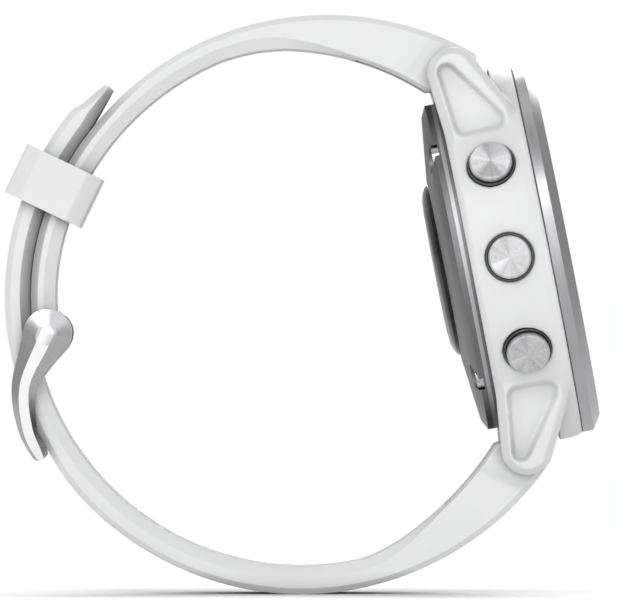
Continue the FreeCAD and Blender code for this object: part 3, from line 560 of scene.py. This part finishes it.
def strap_short():
    """The half from the upper lug to the buckle's pin, with its eye slot for the tongue."""
    kink = SHORT_KINK
    outer = [by_bar(1, -2.3, 1.6), by_bar(1, -1.9, 2.25), by_bar(1, -1.6, 2.75)]
    inner = [by_bar(1, -2.3, -1.4), by_bar(1, -1.9, -1.4), by_bar(1, -1.6, -1.5)]
    count = 34
    outer += arc(TOP_CENTRE, TOP_OUT, SHORT_FROM, kink, count)
    inner += through_arc(by_bar(1, 1.9, -3.3), (4.7, 60.55), polar(TOP_CENTRE, TOP_IN, kink), count)
    turn_at = len(inner) - 1
    outer += arc(TOP_CENTRE, TOP_OUT, kink, TANGENT_AT, 48)[1:]
    inner += arc(TOP_CENTRE, TOP_IN, kink, TANGENT_AT, 48)[1:]
    ease(inner, turn_at)
    outer += arc(REAR_CENTRE, REAR_OUT, TANGENT_AT, EYE_AT, 24)[1:]
    inner += arc(REAR_CENTRE, REAR_IN, TANGENT_AT, EYE_AT, 24)[1:]
    middle, eye = (REAR_OUT + REAR_IN) / 2, (REAR_OUT - REAR_IN) / 2
    for k in range(1, 10):
        past = math.radians(9.0 * k)
        angle = EYE_AT + math.degrees(eye * math.sin(past) / middle)
        outer.append(polar(REAR_CENTRE, middle + eye * math.cos(past), angle))
        inner.append(polar(REAR_CENTRE, middle - eye * math.cos(past), angle))
    stations = []
    for o, i in zip(outer, inner):
        thick = (o - i).length
        rear = max(0.0, min(1.0, (-18.0 - o.x) / 4.0))
        out_cut = min(0.6 + 0.2 * rear, thick * 0.3)
        in_cut = inner_chamfer(thick, 1.45)
        stations.append((o, i, end_half(1, o), out_cut, in_cut, 0.6 + 1.1 * rear, 0.9))
    verts, faces = swept(stations)
    strap = plain("strap_short_silicone", verts, faces)
    holes = []
    for radius, length in ((3.4, 2.6), (0.8, 20)):
        place = Matrix.Translation(Vector((PIN.x, -length / 2, PIN.z)) * MM)
        holes.append(cylinder(radius, length, place @ Matrix.Rotation(math.pi / 2, 4, "Z")))
    cut(strap, end_tools(1) + holes)
    even_shading(strap)
    finished(strap, "strap_silicone", "watch", ("strap_short",), sharp=38)
    second_material(strap, "strap_inner", faces_wrist)


def strap_long():
    """The half from the lower lug, under the wrist and out over the short half to its free end."""
    kink = LONG_KINK
    outer = [by_bar(-1, -2.3, 1.4), by_bar(-1, -1.9, 1.9), by_bar(-1, -1.6, 2.3)]
    inner = [by_bar(-1, -2.3, -1.4), by_bar(-1, -1.9, -1.4), by_bar(-1, -1.6, -1.5)]
    count = 34
    outer += arc(LOW_CENTRE, LOW_OUT, LONG_FROM, kink, count)
    inner += through_arc(by_bar(-1, 1.7, -3.3), (15.7, 9.6), polar(LOW_CENTRE, LOW_IN, kink), count)
    outer_run = arc(LOW_CENTRE, LOW_OUT, kink, TAIL_LEAVES, 120)[1:]
    outer_run += hermite(polar(LOW_CENTRE, LOW_OUT, TAIL_LEAVES), direction(TAIL_LEAVES - 90) * 17,
                         polar(REAR_CENTRE, TAIL_OUT, TAIL_JOINS), direction(TAIL_JOINS - 90) * 17,
                         24)[1:]
    outer_run += arc(REAR_CENTRE, TAIL_OUT, TAIL_JOINS, TAIL_EVEN, 40)[1:]
    outer_run += hermite(polar(REAR_CENTRE, TAIL_OUT, TAIL_EVEN), direction(TAIL_EVEN - 90) * 13.4,
                         polar(REAR_CENTRE, TAIL_SWELL, TAIL_SWELL_AT),
                         direction(TAIL_SWELL_AT - 90) * 13.4, 30)[1:]
    outer_run += hermite(outer_run[-1], direction(TAIL_SWELL_AT - 95) * 1.2,
                         polar(REAR_CENTRE, TAIL_SWELL - 0.35, TAIL_SWELL_AT - 2), direction(42) * 1.2,
                         4)[1:]
    last = outer_run[-1]
    tip = polar(REAR_CENTRE, TAIL_TIP_OUT, TAIL_TIP_AT)
    outer_run += [last.lerp(tip, k / 14) for k in range(1, 15)]
    inner_run = arc(LOW_CENTRE, LOW_IN, kink, 206.0, 900)
    inner_run += hermite(polar(LOW_CENTRE, LOW_IN, 206), direction(116) * 10,
                         polar(REAR_CENTRE, REAR_OUT + TAIL_GAP, 186), direction(96) * 10, 200)[1:]
    inner_run += arc(REAR_CENTRE, REAR_OUT + TAIL_GAP, 186.0, TANGENT_AT, 400)[1:]
    inner_run += arc(TOP_CENTRE, TOP_OUT + TAIL_GAP, TANGENT_AT, 142.0, 200)[1:]
    inner_run.append(polar(REAR_CENTRE, TAIL_TIP_IN, TAIL_TIP_AT))
    turn_at = len(inner) - 1
    outer += outer_run
    inner += [nearest(inner_run, p) for p in outer_run]
    ease(inner, turn_at)
    lengths = [0.0]
    for p, q in zip(outer, outer[1:]):
        lengths.append(lengths[-1] + (q - p).length)
    stations = []
    tip_r = 4.5
    for o, i, run in zip(outer, inner, lengths):
        half = end_half(-1, o)
        left = max(0.02, lengths[-1] - run)
        if left < tip_r:
            half = STRAP_HALF - tip_r + math.sqrt(tip_r ** 2 - (tip_r - left) ** 2)
        thick = (o - i).length
        tail = max(0.0, min(1.0, (o.y - 20.0) / 8.0))
        in_cut = inner_chamfer(thick, 1.3 - 0.15 * tail)
        stations.append((o, i, half, min(0.65, thick * 0.33), in_cut, 0.7, 0.8 + 1.9 * tail))
    verts, faces = swept(stations)
    strap = plain("strap_long_silicone", verts, faces)
    tools = end_tools(-1)
    tongue = [(-29.2, 30.4), (-35.0, 29.0), (-35.0, 21.0), (-29.9, 20.6), (-28.0, 23.0)]
    tools.append(prism(tongue, -1.3, 1.3))
    step = math.degrees(5.0 / 30.5)
    for k in range(1, 10):
        angle = 188.0 - k * step if k < 5 else 198.0 + (k - 3) * step
        centre = REAR_CENTRE if k < 5 else LOW_CENTRE
        start = polar(centre, 28.0, angle)
        place = Matrix.Translation(Vector((start.x, 0, start.y)) * MM)
        tools.append(cylinder(1.15, 8, place @ Matrix.Rotation(-math.radians(angle), 4, "Y")))
    cut(strap, tools)
    even_shading(strap)
    finished(strap, "strap_silicone", "watch", ("strap_long",), sharp=38)
    second_material(strap, "strap_inner", faces_wrist)


strap_short()
strap_long()


# ---------------------------------------------------------------- keeper
def keeper():
    """The sliding loop: a block with sloped corners and a window curved with the strap."""
    radius, deep, long_, half, at = 28.7, 9.36, 5.98, 10.6, 154.4
    window_half, corner, fall = 9.3, 1.3, 1.85
    top, bottom = TAIL_SWELL + 0.25, REAR_IN - 0.25
    low, high = radius - deep / 2, radius + deep / 2
    outside = rounded_section([Vector(p) for p in (
        (half - corner, high), (half, high - fall), (half, low + fall), (half - corner, low),
        (-half + corner, low), (-half, low + fall), (-half, high - fall), (-half + corner, high),
    )], 0.3, 4)
    inside = rounded_section([Vector(p) for p in (
        (window_half, top), (window_half, bottom), (-window_half, bottom), (-window_half, top),
    )], 0.35, 4)
    verts, faces = [], []
    rows = 13
    n_out, n_in = len(outside), len(inside)
    for k in range(rows):
        t = (k / (rows - 1) - 0.5) * long_
        for y, r in outside:
            verts.append((r, y, t))
        for y, r in inside:
            verts.append((math.sqrt(max(r * r - t * t, 0)), y, t))
    size = n_out + n_in
    for k in range(rows - 1):
        a, b = k * size, (k + 1) * size
        for i in range(n_out):
            j = (i + 1) % n_out
            faces.append([a + i, a + j, b + j, b + i])
        for i in range(n_in):
            j = (i + 1) % n_in
            faces.append([a + n_out + i, b + n_out + i, b + n_out + j, a + n_out + j])
    mesh = bpy.data.meshes.new("keeper_loop")
    mesh.from_pydata([Vector(v) * MM for v in verts], [], faces)
    bm = bmesh.new()
    bm.from_mesh(mesh)
    bm.verts.ensure_lookup_table()
    for base in (0, (rows - 1) * size):
        loops = [[bm.verts[base + i] for i in range(n_out)],
                 [bm.verts[base + n_out + i] for i in range(n_in)]]
        edges = []
        for loop in loops:
            for i, v in enumerate(loop):
                edges.append(bm.edges.get((v, loop[(i + 1) % len(loop)])))
        bmesh.ops.triangle_fill(bm, use_beauty=True, use_dissolve=False, edges=edges)
    bm.to_mesh(mesh)
    bm.free()
    obj = bpy.data.objects.new("keeper_loop", mesh)
    bpy.context.scene.collection.objects.link(obj)
    place = Matrix.Translation(Vector((REAR_CENTRE[0], 0, REAR_CENTRE[1])) * MM)
    place = place @ Matrix.Rotation(-math.radians(at), 4, "Y")
    finished(obj, "strap_silicone", "keeper", ("keeper",), place, 30)
    return bevelled(obj, 0.28, 3, 50)


keeper()


# ---------------------------------------------------------------- case
def case_lathe(name, profile, material, replaces, edge=0.06, steps=192):
    """A turned piece of the case, from its outline of (depth, radius) points."""
    verts, faces = lathe(profile, steps)
    obj = new_piece(name, verts, faces, material, "watch", replaces, CASE, 20)
    return bevelled(obj, edge, 2, 14) if edge else obj


case_lathe("bezel_turned", [
    (0.02, 17.60), (0.02, 18.15), (-0.95, 18.15), (-0.95, 18.65), (0.02, 18.65), (0.02, 20.92),
    (0.1, 21.0), (1.25, 21.0), (2.22, 19.51), (2.27, 19.45), (2.27, 17.9), (1.97, 17.60),
], "bezel_steel", ("bezel_ring",), 0.09)


def back_plate():
    """The turned back with its screw cups and the slot of the charging insert."""
    verts, faces = lathe([
        (-8.94, 15.3), (-8.94, 18.9), (-9.27, 18.9), (-9.27, 18.65), (-9.72, 18.65), (-10.4, 18.65),
        (-11.0, 17.4), (-11.8, 10.4), (-11.8, 9.85), (-10.6, 9.85), (-10.6, 14.5), (-9.9, 15.0),
        (-8.2, 15.0), (-8.2, 15.3),
    ], 192)
    obj = plain("back_turned", verts, faces)
    tools = []
    for angle in (46.0, 134.0, 226.0, 314.0):
        a = math.radians(angle)
        at = Vector((-13.0, -17.35 * math.cos(a), 17.35 * math.sin(a))) * MM
        tools.append(cylinder(1.55, 3.05, Matrix.Translation(at)))
        tools.append(cylinder(0.8, 5, Matrix.Translation(at)))
    slot = []
    for k in range(24):
        a = 2 * math.pi * (k + 0.5) / 24
        y = 1.55 * math.cos(a) + (1.7 if math.cos(a) > 0 else -1.7)
        slot.append((y, -12.4 + 1.55 * math.sin(a)))
    verts = [(-13.5, y, z) for y, z in slot] + [(-10, y, z) for y, z in slot]
    n = len(slot)
    faces = [list(range(n)), list(range(2 * n - 1, n - 1, -1))]
    faces += [[k, (k + 1) % n, n + (k + 1) % n, n + k] for k in range(n)]
    tools.append(plain("tool", verts, faces))
    cut(obj, tools)
    finished(obj, "back_steel", "watch", ("back_plate",), CASE, 20)
    second_material(obj, "back_rim", lambda at, normal: (
        -9.72 * MM < at.x < -9.3 * MM and math.hypot(at.y, at.z) > 18.5 * MM and abs(normal.x) < 0.2))
    return bevelled(obj, 0.1, 2, 30)


back_plate()

glass = Shader("lens_glass")
glass.value("Base Color", (0.96, 0.98, 1.0, 1))
glass.value("Transmission Weight", 1.0)
glass.value("IOR", 1.5)
glass.link(glass.ranged(glass.noise(glass.coords(), 90, 2), 0.0, 0.03), glass.bsdf.inputs["Roughness"])
glass.bump(glass.noise(glass.coords(), 40, 1), 0.01, 2e-7)
MATS["lens_glass"] = glass.mat

gloss = Shader("sensor_gloss")
gloss.link(
    gloss.tint(gloss.ranged(gloss.noise(gloss.coords(), 700, 3), 0, 1), (0.006, 0.006, 0.007),
               (0.014, 0.014, 0.016)), gloss.bsdf.inputs["Base Color"])
gloss.link(gloss.ranged(gloss.noise(gloss.coords(), 260, 3), 0.06, 0.13), gloss.bsdf.inputs["Roughness"])
gloss.bump(gloss.noise(gloss.coords(), 900, 2), 0.03, 1e-6)
gloss.value("Specular IOR Level", 0.25)
gloss.value("Coat Weight", 0.05)
gloss.value("Coat Roughness", 0.04)
MATS["sensor_gloss"] = gloss.mat

display = Shader("display")
display.link(
    display.tint(display.ranged(display.noise(display.coords(), 2500, 2), 0, 1), (0.008, 0.010, 0.010),
                 (0.016, 0.019, 0.018)), display.bsdf.inputs["Base Color"])
display.link(display.ranged(display.noise(display.coords(), 500, 3), 0.22, 0.32),
             display.bsdf.inputs["Roughness"])
display.bump(display.noise(display.coords(), 250, 2), 0.03, 1e-6)
display.value("Specular IOR Level", 0.15)
MATS["display"] = display.mat

case_lathe("lens_disc", [(0.85, 0), (0.85, 17.5), (1.7, 17.5), (1.9, 17.3), (1.9, 0)],
           "lens_glass", ("display_lens",), 0.05)

# parts of a seven-segment numeral: side, height and whether the part lies flat
SEGMENTS = {
    "top": (0, 1, True), "upper_right": (1, 0.5, False), "lower_right": (1, -0.5, False),
    "bottom": (0, -1, True), "lower_left": (-1, -0.5, False), "upper_left": (-1, 0.5, False),
    "middle": (0, 0, True),
}
NUMERALS = {
    0: ("top", "upper_right", "lower_right", "bottom", "lower_left", "upper_left"),
    1: ("upper_right", "lower_right"),
    8: tuple(SEGMENTS),
}


def tabs(name, places, material, replaces):
    """Thin boxes, each from a centre and three half edges, in the case's own directions."""
    verts, faces = [], []
    for centre, a, b, c in places:
        first = len(verts)
        for i in (-1, 1):
            for j in (-1, 1):
                for k in (-1, 1):
                    verts.append(centre + a * i + b * j + c * k)
        for face in ((0, 1, 3, 2), (4, 6, 7, 5), (0, 4, 5, 1), (2, 3, 7, 6), (0, 2, 6, 4), (1, 5, 7, 3)):
            faces.append([first + v for v in face])
    return new_piece(name, verts, faces, material, "watch", replaces, CASE, 20)


def display_face():
    """The dark display with a plain clock reading and a row of bars."""
    verts, faces = lathe([(-1.3, 0), (-1.3, 16.3), (-0.37, 16.3), (-0.37, 0)], 128)
    panel = plain("display_disc", verts, faces)
    finished(panel, "display", "watch", ("display_panel",), CASE, 20)
    marks = []

    def mark(y, z, half_y, half_z):
        marks.append((Vector((-0.36, y, z)), Vector((0.01, 0, 0)),
                      Vector((0, half_y, 0)), Vector((0, 0, half_z))))

    for y, numeral in ((-7.5, 1), (-2.9, 0), (2.9, 0), (7.5, 8)):
        for part in NUMERALS[numeral]:
            side, level, lying = SEGMENTS[part]
            mark(y + 1.45 * side, 1.8 + 3.0 * level, *((1.0, 0.38) if lying else (0.38, 1.05)))
    for z in (0.5, 3.1):
        mark(0, z, 0.38, 0.38)
    for k, high in enumerate((0.5, 0.8, 0.6, 1.1, 1.5, 1.2, 0.9, 1.3, 0.7, 0.5)):
        mark(1.15 * (k - 4.5), -7.6 + high, 0.38, high)
    for k in range(3):
        mark(1.3 * (k - 1), 9.2, 0.35, 0.35)
    return tabs("display_marks", marks, "dial_marks", ("display_panel",))


def minute_marks():
    """Sixty marks on the sloping ring round the display, the fifth ones longer."""
    marks = []
    for k in range(60):
        a = math.radians(6 * k)
        out_way, turn_way = Vector((0, math.cos(a), math.sin(a))), Vector((0, -math.sin(a), math.cos(a)))
        slope = (Vector((0.49, 0, 0)) + out_way * 0.9).normalized()
        lift = slope.cross(turn_way)
        long_, wide = (0.40, 0.17) if k % 5 == 0 else (0.25, 0.08)
        marks.append((Vector((0.345, 0, 0)) + out_way * 15.85, slope * long_, turn_way * wide, lift * 0.012))
    return tabs("minute_marks", marks, "dial_marks", ("dial_ring",))


case_lathe("dial_slope", [(-0.25, 15.3), (-0.25, 17.5), (0.59, 17.5), (0.59, 16.3), (0.1, 15.4)],
           "dial_ring", ("dial_ring",), 0)
display_face()
minute_marks()
case_lathe("sensor_dome", [
    (-10.62, 0), (-10.62, 8.55), (-11.6, 8.55), (-11.6, 9.2), (-10.62, 9.25), (-10.4, 9.25),
    (-10.4, 9.8), (-11.85, 9.8), (-12.2, 9.55), (-12.5, 9.0), (-12.72, 8.2), (-12.83, 6.9),
    (-12.88, 4.0), (-12.9, 0),
], "sensor_gloss", ("sensor_window",), 0.05)


SHOULDER_U, SHOULDER_V, SHOULDER_REACH = -0.85, 16.4, 4.2


def blend_shoulders(obj):
    """Melt the front ends of the lugs' side edges into the wall of the case."""
    inverse = CASE.inverted()
    group = obj.vertex_groups.new(name="shoulders")
    for v in obj.data.vertices:
        p = inverse @ v.co / MM
        away = math.hypot(p.x - SHOULDER_U, abs(p.z) - SHOULDER_V)
        weight = (1 - away / SHOULDER_REACH) * max(0.0, min(1.0, -(p.x + 0.25) / 0.7))
        if weight > 0 and 11 < abs(p.y) < 17:
            group.add([v.index], min(1.0, 1.6 * weight), "REPLACE")
    melt = obj.modifiers.new("melt", "SMOOTH")
    melt.factor = 0.5
    melt.iterations = 110
    melt.vertex_group = group.name
    applied(obj)
    obj.vertex_groups.clear()


def housing():
    """The moulded housing: the CAD's own shape with every edge softened."""
    source = frame["nodes"]["housing"]
    obj = bpy.data.objects.new("housing_moulded", source.data.copy())
    bpy.context.scene.collection.objects.link(obj)
    remesh = obj.modifiers.new("remesh", "REMESH")
    remesh.mode = "VOXEL"
    remesh.voxel_size = 0.125 * MM
    remesh.adaptivity = 0.0
    soften = obj.modifiers.new("soften", "SMOOTH")
    soften.factor = 0.5
    soften.iterations = 14
    applied(obj)
    blend_shoulders(obj)
    return finished(obj, "case_polymer", "watch", ("housing",), None, 60)


housing()


# ---------------------------------------------------------------- buttons
def along(axis, at):
    """A place whose local X runs along the axis."""
    x = axis.normalized()
    z = (DIAL_OUT - x * DIAL_OUT.dot(x)).normalized()
    y = z.cross(x)
    return Matrix.Translation(at) @ Matrix((x, y, z)).transposed().to_4x4()


BUTTON_U = -4.5              # depth of the buttons' axes behind the bezel seam, mm
for name in ("light", "up", "down", "start", "back"):
    outward = -Vector(JOINTS[name + "_press"]["axis"])
    origin = CASE_ORIGIN + DIAL_OUT * BUTTON_U * MM
    place = along(outward, origin)
    verts, faces = lathe([
        (22.22, 0), (22.24, 0.7), (22.25, 1.4), (22.26, 2.24), (22.20, 2.35), (22.06, 2.42), (20.94, 2.42),
        (20.94, 1.0), (18.65, 1.0), (18.65, 0.62), (18.15, 0.62), (18.15, 1.0), (17.57, 1.0),
        (17.57, 0.62), (17.23, 0.62), (17.23, 1.0), (16.6, 1.0), (16.6, 0),
    ], 96)
    cap = new_piece("cap_" + name, verts, faces, "button_steel", "button_" + name,
                    ("button_" + name,), place, 24)
    bevelled(cap, 0.03, 2, 20)
    verts, faces = lathe([
        (21.3, 2.54), (21.3, 2.67), (21.25, 2.72), (17.6, 2.72), (17.6, 1.05), (19.2, 1.05),
        (19.2, 1.95), (20.16, 1.95), (20.16, 2.52), (21.28, 2.52),
    ], 96)
    # collar in painted-shade dark grey, for the shaded gap round the cap
    new_piece("collar_" + name, verts, faces, "collar_steel", "watch",
              ("button_collars",), place, 24)


# ---------------------------------------------------------------- buckle
HEAD_R, FACET_HALF, ARM_DROP = 2.7, 0.75, 0.7


def arm_outline():
    """Stations of the buckle's comma-shaped side: outer edge, inner edge, face half width, past.

    Past is how far a station lies beyond the middle of the round head.
    """
    head = Vector((PIN.x, PIN.z))
    outer = [Vector(p) for p in ((-31.29, 29.59), (-32.6, 23.5), (-31.9, 18.6), (-30.15, 15.3))]
    inner = [Vector(p) for p in ((-26.66, 27.52), (-29.65, 23.5), (-29.75, 18.9), (-28.85, 15.9))]
    stations = []
    for k in range(27):
        turn = 110 * k / 26
        past = HEAD_R * math.cos(math.radians(turn))
        face = math.sqrt(max(FACET_HALF ** 2 - max(past, 0) ** 2, 0.0004))
        stations.append((polar(head, HEAD_R, 66 + turn), polar(head, HEAD_R, 66 - turn), face, max(past, 0)))
    out_line = catmull([head + Vector((-2.0, 6.0))] + outer + [Vector((-27.8, 12.9))], 14)[1:]
    in_line = catmull([head + Vector((4.5, 1.0))] + inner + [Vector((-27.9, 12.6))], 14)[1:]
    for k, (o, i) in enumerate(zip(out_line, in_line)):
        t = (k + 1) / len(out_line)
        stations.append((o, i, FACET_HALF - 0.2 * min(1.0, 3 * t), 0.0))
    o, i = stations[-1][:2]
    ahead = ((o + i) - (stations[-2][0] + stations[-2][1])).normalized()
    for k in range(1, 5):
        turn = math.radians(20 * k)
        half, middle = (o - i) / 2 * math.cos(turn), (o + i) / 2 + ahead * 0.5 * math.sin(turn)
        stations.append((middle + half, middle - half, 0.5 * math.cos(turn), 0.0))
    return stations


def catmull(points, steps):
    """Points of a smooth curve through the middle points; the end ones only steer it."""
    line = []
    for i in range(1, len(points) - 2):
        a, b, c, d = points[i - 1:i + 3]
        for k in range(steps):
            t = k / steps
            line.append(0.5 * (
                2 * b + (c - a) * t + (2 * a - 5 * b + 4 * c - d) * t ** 2
                + (3 * b - a - 3 * c + d) * t ** 3
            ))
    line.append(points[-2].copy())
    return line


def buckle_arm(side):
    """One side arm: a narrow polished face, made lighter by a painted highlight, between two wide slopes, a cone
    round the head.
    """
    inner_y, outer_y = 9.35, 11.1
    verts, faces = [], []
    stations = arm_outline()
    for o, i, face, past in stations:
        width = (o - i).length
        way = (o - i).normalized() if width > 1e-6 else Vector((0, 1))
        middle = (o + i) / 2
        half = max(width / 2, 0.01)
        face = min(face, half * 0.6)
        reach = HEAD_R if past > 0 else half
        drop = min(ARM_DROP, reach * 0.7)
        edge = min(0.15, width * 0.2)
        spread = [1.0, 0.75, 0.5, 0.25, 0.0]
        offsets = [-(face + (half - face) * t) for t in spread]
        offsets += [-x for x in reversed(offsets)]
        ring = [(i, inner_y + 0.12)]
        for x in offsets:
            away = math.hypot(x, past)
            low = max(0.0, min(1.0, (away - min(face, FACET_HALF) if past <= 0 else away - FACET_HALF)
                               / (reach - (face if past <= 0 else FACET_HALF))))
            ring.append((middle + way * x, outer_y - drop * low))
        ring += [(o, inner_y + 0.12), (o - way * edge, inner_y), (i + way * edge, inner_y)]
        for p, y in ring:
            verts.append((p.x, side * y, p.y))
        size = len(ring)
    rows = len(stations)
    for r in range(rows - 1):
        for k in range(size):
            n = (k + 1) % size
            faces.append([r * size + k, r * size + n, (r + 1) * size + n, (r + 1) * size + k])
    faces.append(list(range(size)))
    faces.append(list(range(rows * size - 1, (rows - 1) * size - 1, -1)))
    return verts, faces


def buckle_frame():
    """Both side arms and the bar that joins their free ends."""
    verts, faces = [], []
    for side in (-1, 1):
        v, f = buckle_arm(side)
        faces += [[i + len(verts) for i in face] for face in f]
        verts += v
    bar = rounded_section([Vector(p) for p in (
        (-31.3, 17.9), (-30.05, 18.0), (-28.95, 15.8), (-29.7, 15.1), (-30.7, 16.0))], 0.3, 3)
    ys = [-9.6, -2.2, -1.5, 0.0, 1.5, 2.2, 9.6]
    base = len(verts)
    for y in ys:
        for x, z in bar:
            if abs(y) < 1.6:
                x = max(x, -30.72)
            verts.append((x, y, z))
    n = len(bar)
    for k in range(len(ys) - 1):
        for i in range(n):
            j = (i + 1) % n
            faces.append([base + k * n + i, base + k * n + j, base + (k + 1) * n + j, base + (k + 1) * n + i])
    faces.append([base + i for i in range(n)])
    faces.append([base + (len(ys) - 1) * n + i for i in range(n - 1, -1, -1)])
    obj = new_piece("buckle_frame_steel", verts, faces, "buckle_steel", "buckle",
                    ("buckle_frame",), None, 25)
    # painted highlight: the outward flat faces of the arms get the lighter steel
    second_material(obj, "buckle_face", lambda at, normal: abs(at.y) > 11.05 * MM and abs(normal.y) > 0.98)
    return bevelled(obj, 0.1, 3, 22)


buckle_frame()

# ---------------------------------------------------------------- pieces kept from the CAD
replaced = {"strap_short", "strap_long", "keeper", "bezel_ring", "back_plate", "display_lens",
            "sensor_window", "housing", "button_collars", "buckle_frame", "display_panel", "dial_ring"}
slots = {s["node"]: s["material_slot"] for s in record["subparts"]}
for node, obj in frame["nodes"].items():
    obj.data.materials.clear()
    obj.data.materials.append(MATS[slots[node]])
    if node in replaced:
        continue
    obj.data.shade_smooth()
    obj.data.set_sharp_from_angle(angle=math.radians(30))

# ---------------------------------------------------------------- stage, light and camera
scene = bpy.context.scene
scene.view_settings.view_transform = "Standard"
scene.view_settings.look = "None"

FLOOR_R, FLOOR_CLEAR_R, FLOOR_GLOW, FLOOR_STEPS = 0.60, 0.22, 0.55, 64
PAINTED_SHADOW_R, PAINTED_SHADOW_FADE_R = 0.015, 0.050     # painted contact shadow: the floor's glow is held back near the middle and grows between these distances from it, m
floor_mesh = bpy.data.meshes.new("floor")
corners = [2 * math.pi * k / FLOOR_STEPS for k in range(FLOOR_STEPS)]
floor_mesh.from_pydata([(FLOOR_R * math.cos(a), FLOOR_R * math.sin(a), 0) for a in corners], [],
                       [list(range(FLOOR_STEPS))])
floor = bpy.data.objects.new("floor", floor_mesh)
scene.collection.objects.link(floor)
paint = Shader("floor_paint")
paint.link(paint.tint(paint.ranged(paint.noise(paint.coords(), 3, 2), 0, 1), (0.88, 0.88, 0.88),
                      (0.90, 0.90, 0.90)), paint.bsdf.inputs["Base Color"])
paint.value("Roughness", 0.9)
paint.value("Specular IOR Level", 0.1)
paint.value("Emission Color", (1, 1, 1, 1))
rays = paint.node("ShaderNodeLightPath")
seen_glow = paint.math("MULTIPLY", rays.outputs["Is Camera Ray"], FLOOR_GLOW)
mirrored_glow = paint.math("MULTIPLY", rays.outputs["Is Glossy Ray"], FLOOR_GLOW * 0.25)
length = paint.node("ShaderNodeVectorMath", operation="LENGTH")
paint.link(paint.coords(), length.inputs[0])
paint.link(paint.ranged(length.outputs["Value"], 1.0, 0.0, FLOOR_CLEAR_R, FLOOR_R * 0.97),
           paint.bsdf.inputs["Alpha"])
# painted shadow: the glow seen by the camera is zero near the watch and rises outwards, so the floor darkens round
# the contact on top of its real shadows
away = paint.ranged(length.outputs["Value"], 0.0, 1.0, PAINTED_SHADOW_R, PAINTED_SHADOW_FADE_R)
paint.link(paint.math("ADD", paint.math("MULTIPLY", seen_glow, away), mirrored_glow),
           paint.bsdf.inputs["Emission Strength"])
floor_mesh.materials.append(paint.mat)

world = bpy.data.worlds.new("studio")
scene.world = world
world.use_nodes = True
tree = world.node_tree
tree.nodes.clear()
out = tree.nodes.new("ShaderNodeOutputWorld")
ray = tree.nodes.new("ShaderNodeLightPath")
surround = tree.nodes.new("ShaderNodeBackground")
surround.inputs["Color"].default_value = (1, 1, 1, 1)
level = None
for kind, strength in (("Is Camera Ray", 1.0), ("Is Glossy Ray", 0.45), ("Is Diffuse Ray", 0.15),
                       ("Is Transmission Ray", 0.50)):
    part = tree.nodes.new("ShaderNodeMath")
    part.operation = "MULTIPLY"
    part.inputs[1].default_value = strength
    tree.links.new(ray.outputs[kind], part.inputs[0])
    if level is None:
        level = part
        continue
    most = tree.nodes.new("ShaderNodeMath")
    most.operation = "MAXIMUM"
    tree.links.new(level.outputs[0], most.inputs[0])
    tree.links.new(part.outputs[0], most.inputs[1])
    level = most
tree.links.new(level.outputs[0], surround.inputs["Strength"])
tree.links.new(surround.outputs[0], out.inputs[0])

TARGET = Vector((0, 0, 0.033))


def softbox(name, at, width, height, power):
    """A rectangular area light that faces the watch."""
    data = bpy.data.lights.new(name, "AREA")
    data.shape = "RECTANGLE"
    data.size, data.size_y = width, height
    data.energy = power
    obj = bpy.data.objects.new(name, data)
    obj.location = at
    obj.rotation_euler = (TARGET - Vector(at)).to_track_quat("-Z", "Y").to_euler()
    obj.visible_camera = False
    scene.collection.objects.link(obj)
    return obj


softbox("key", (-0.30, -0.95, 0.75), 0.5, 0.35, 2.2)
softbox("front", (0.0, -2.3, 0.6), 3.2, 2.4, 23.0)
fill = softbox("fill", (0.0, -2.0, 0.35), 1.4, 1.0, 12.3)
fill.visible_glossy = False
right = softbox("right", (1.0, 0.3, 0.1), 0.9, 0.9, 3.5)
right.visible_glossy = False
left = softbox("left", (-1.0, 0.3, 0.3), 0.8, 0.8, 2.0)
left.visible_glossy = False
softbox("overhead", (0.05, 0.1, 0.8), 0.7, 0.5, 0.5)
softbox("behind", (0.1, 0.8, 0.4), 0.5, 0.4, 3.8)

camera_data = bpy.data.cameras.new("camera")
camera_data.lens = 980
camera_data.sensor_width = 36
camera_data.clip_start = 0.01
camera_data.clip_end = 20
camera = bpy.data.objects.new("camera", camera_data)
camera.location = (0.0008, -1.900, 0.03314)
camera.rotation_euler = (math.pi / 2, 0, 0)
scene.collection.objects.link(camera)
scene.camera = camera
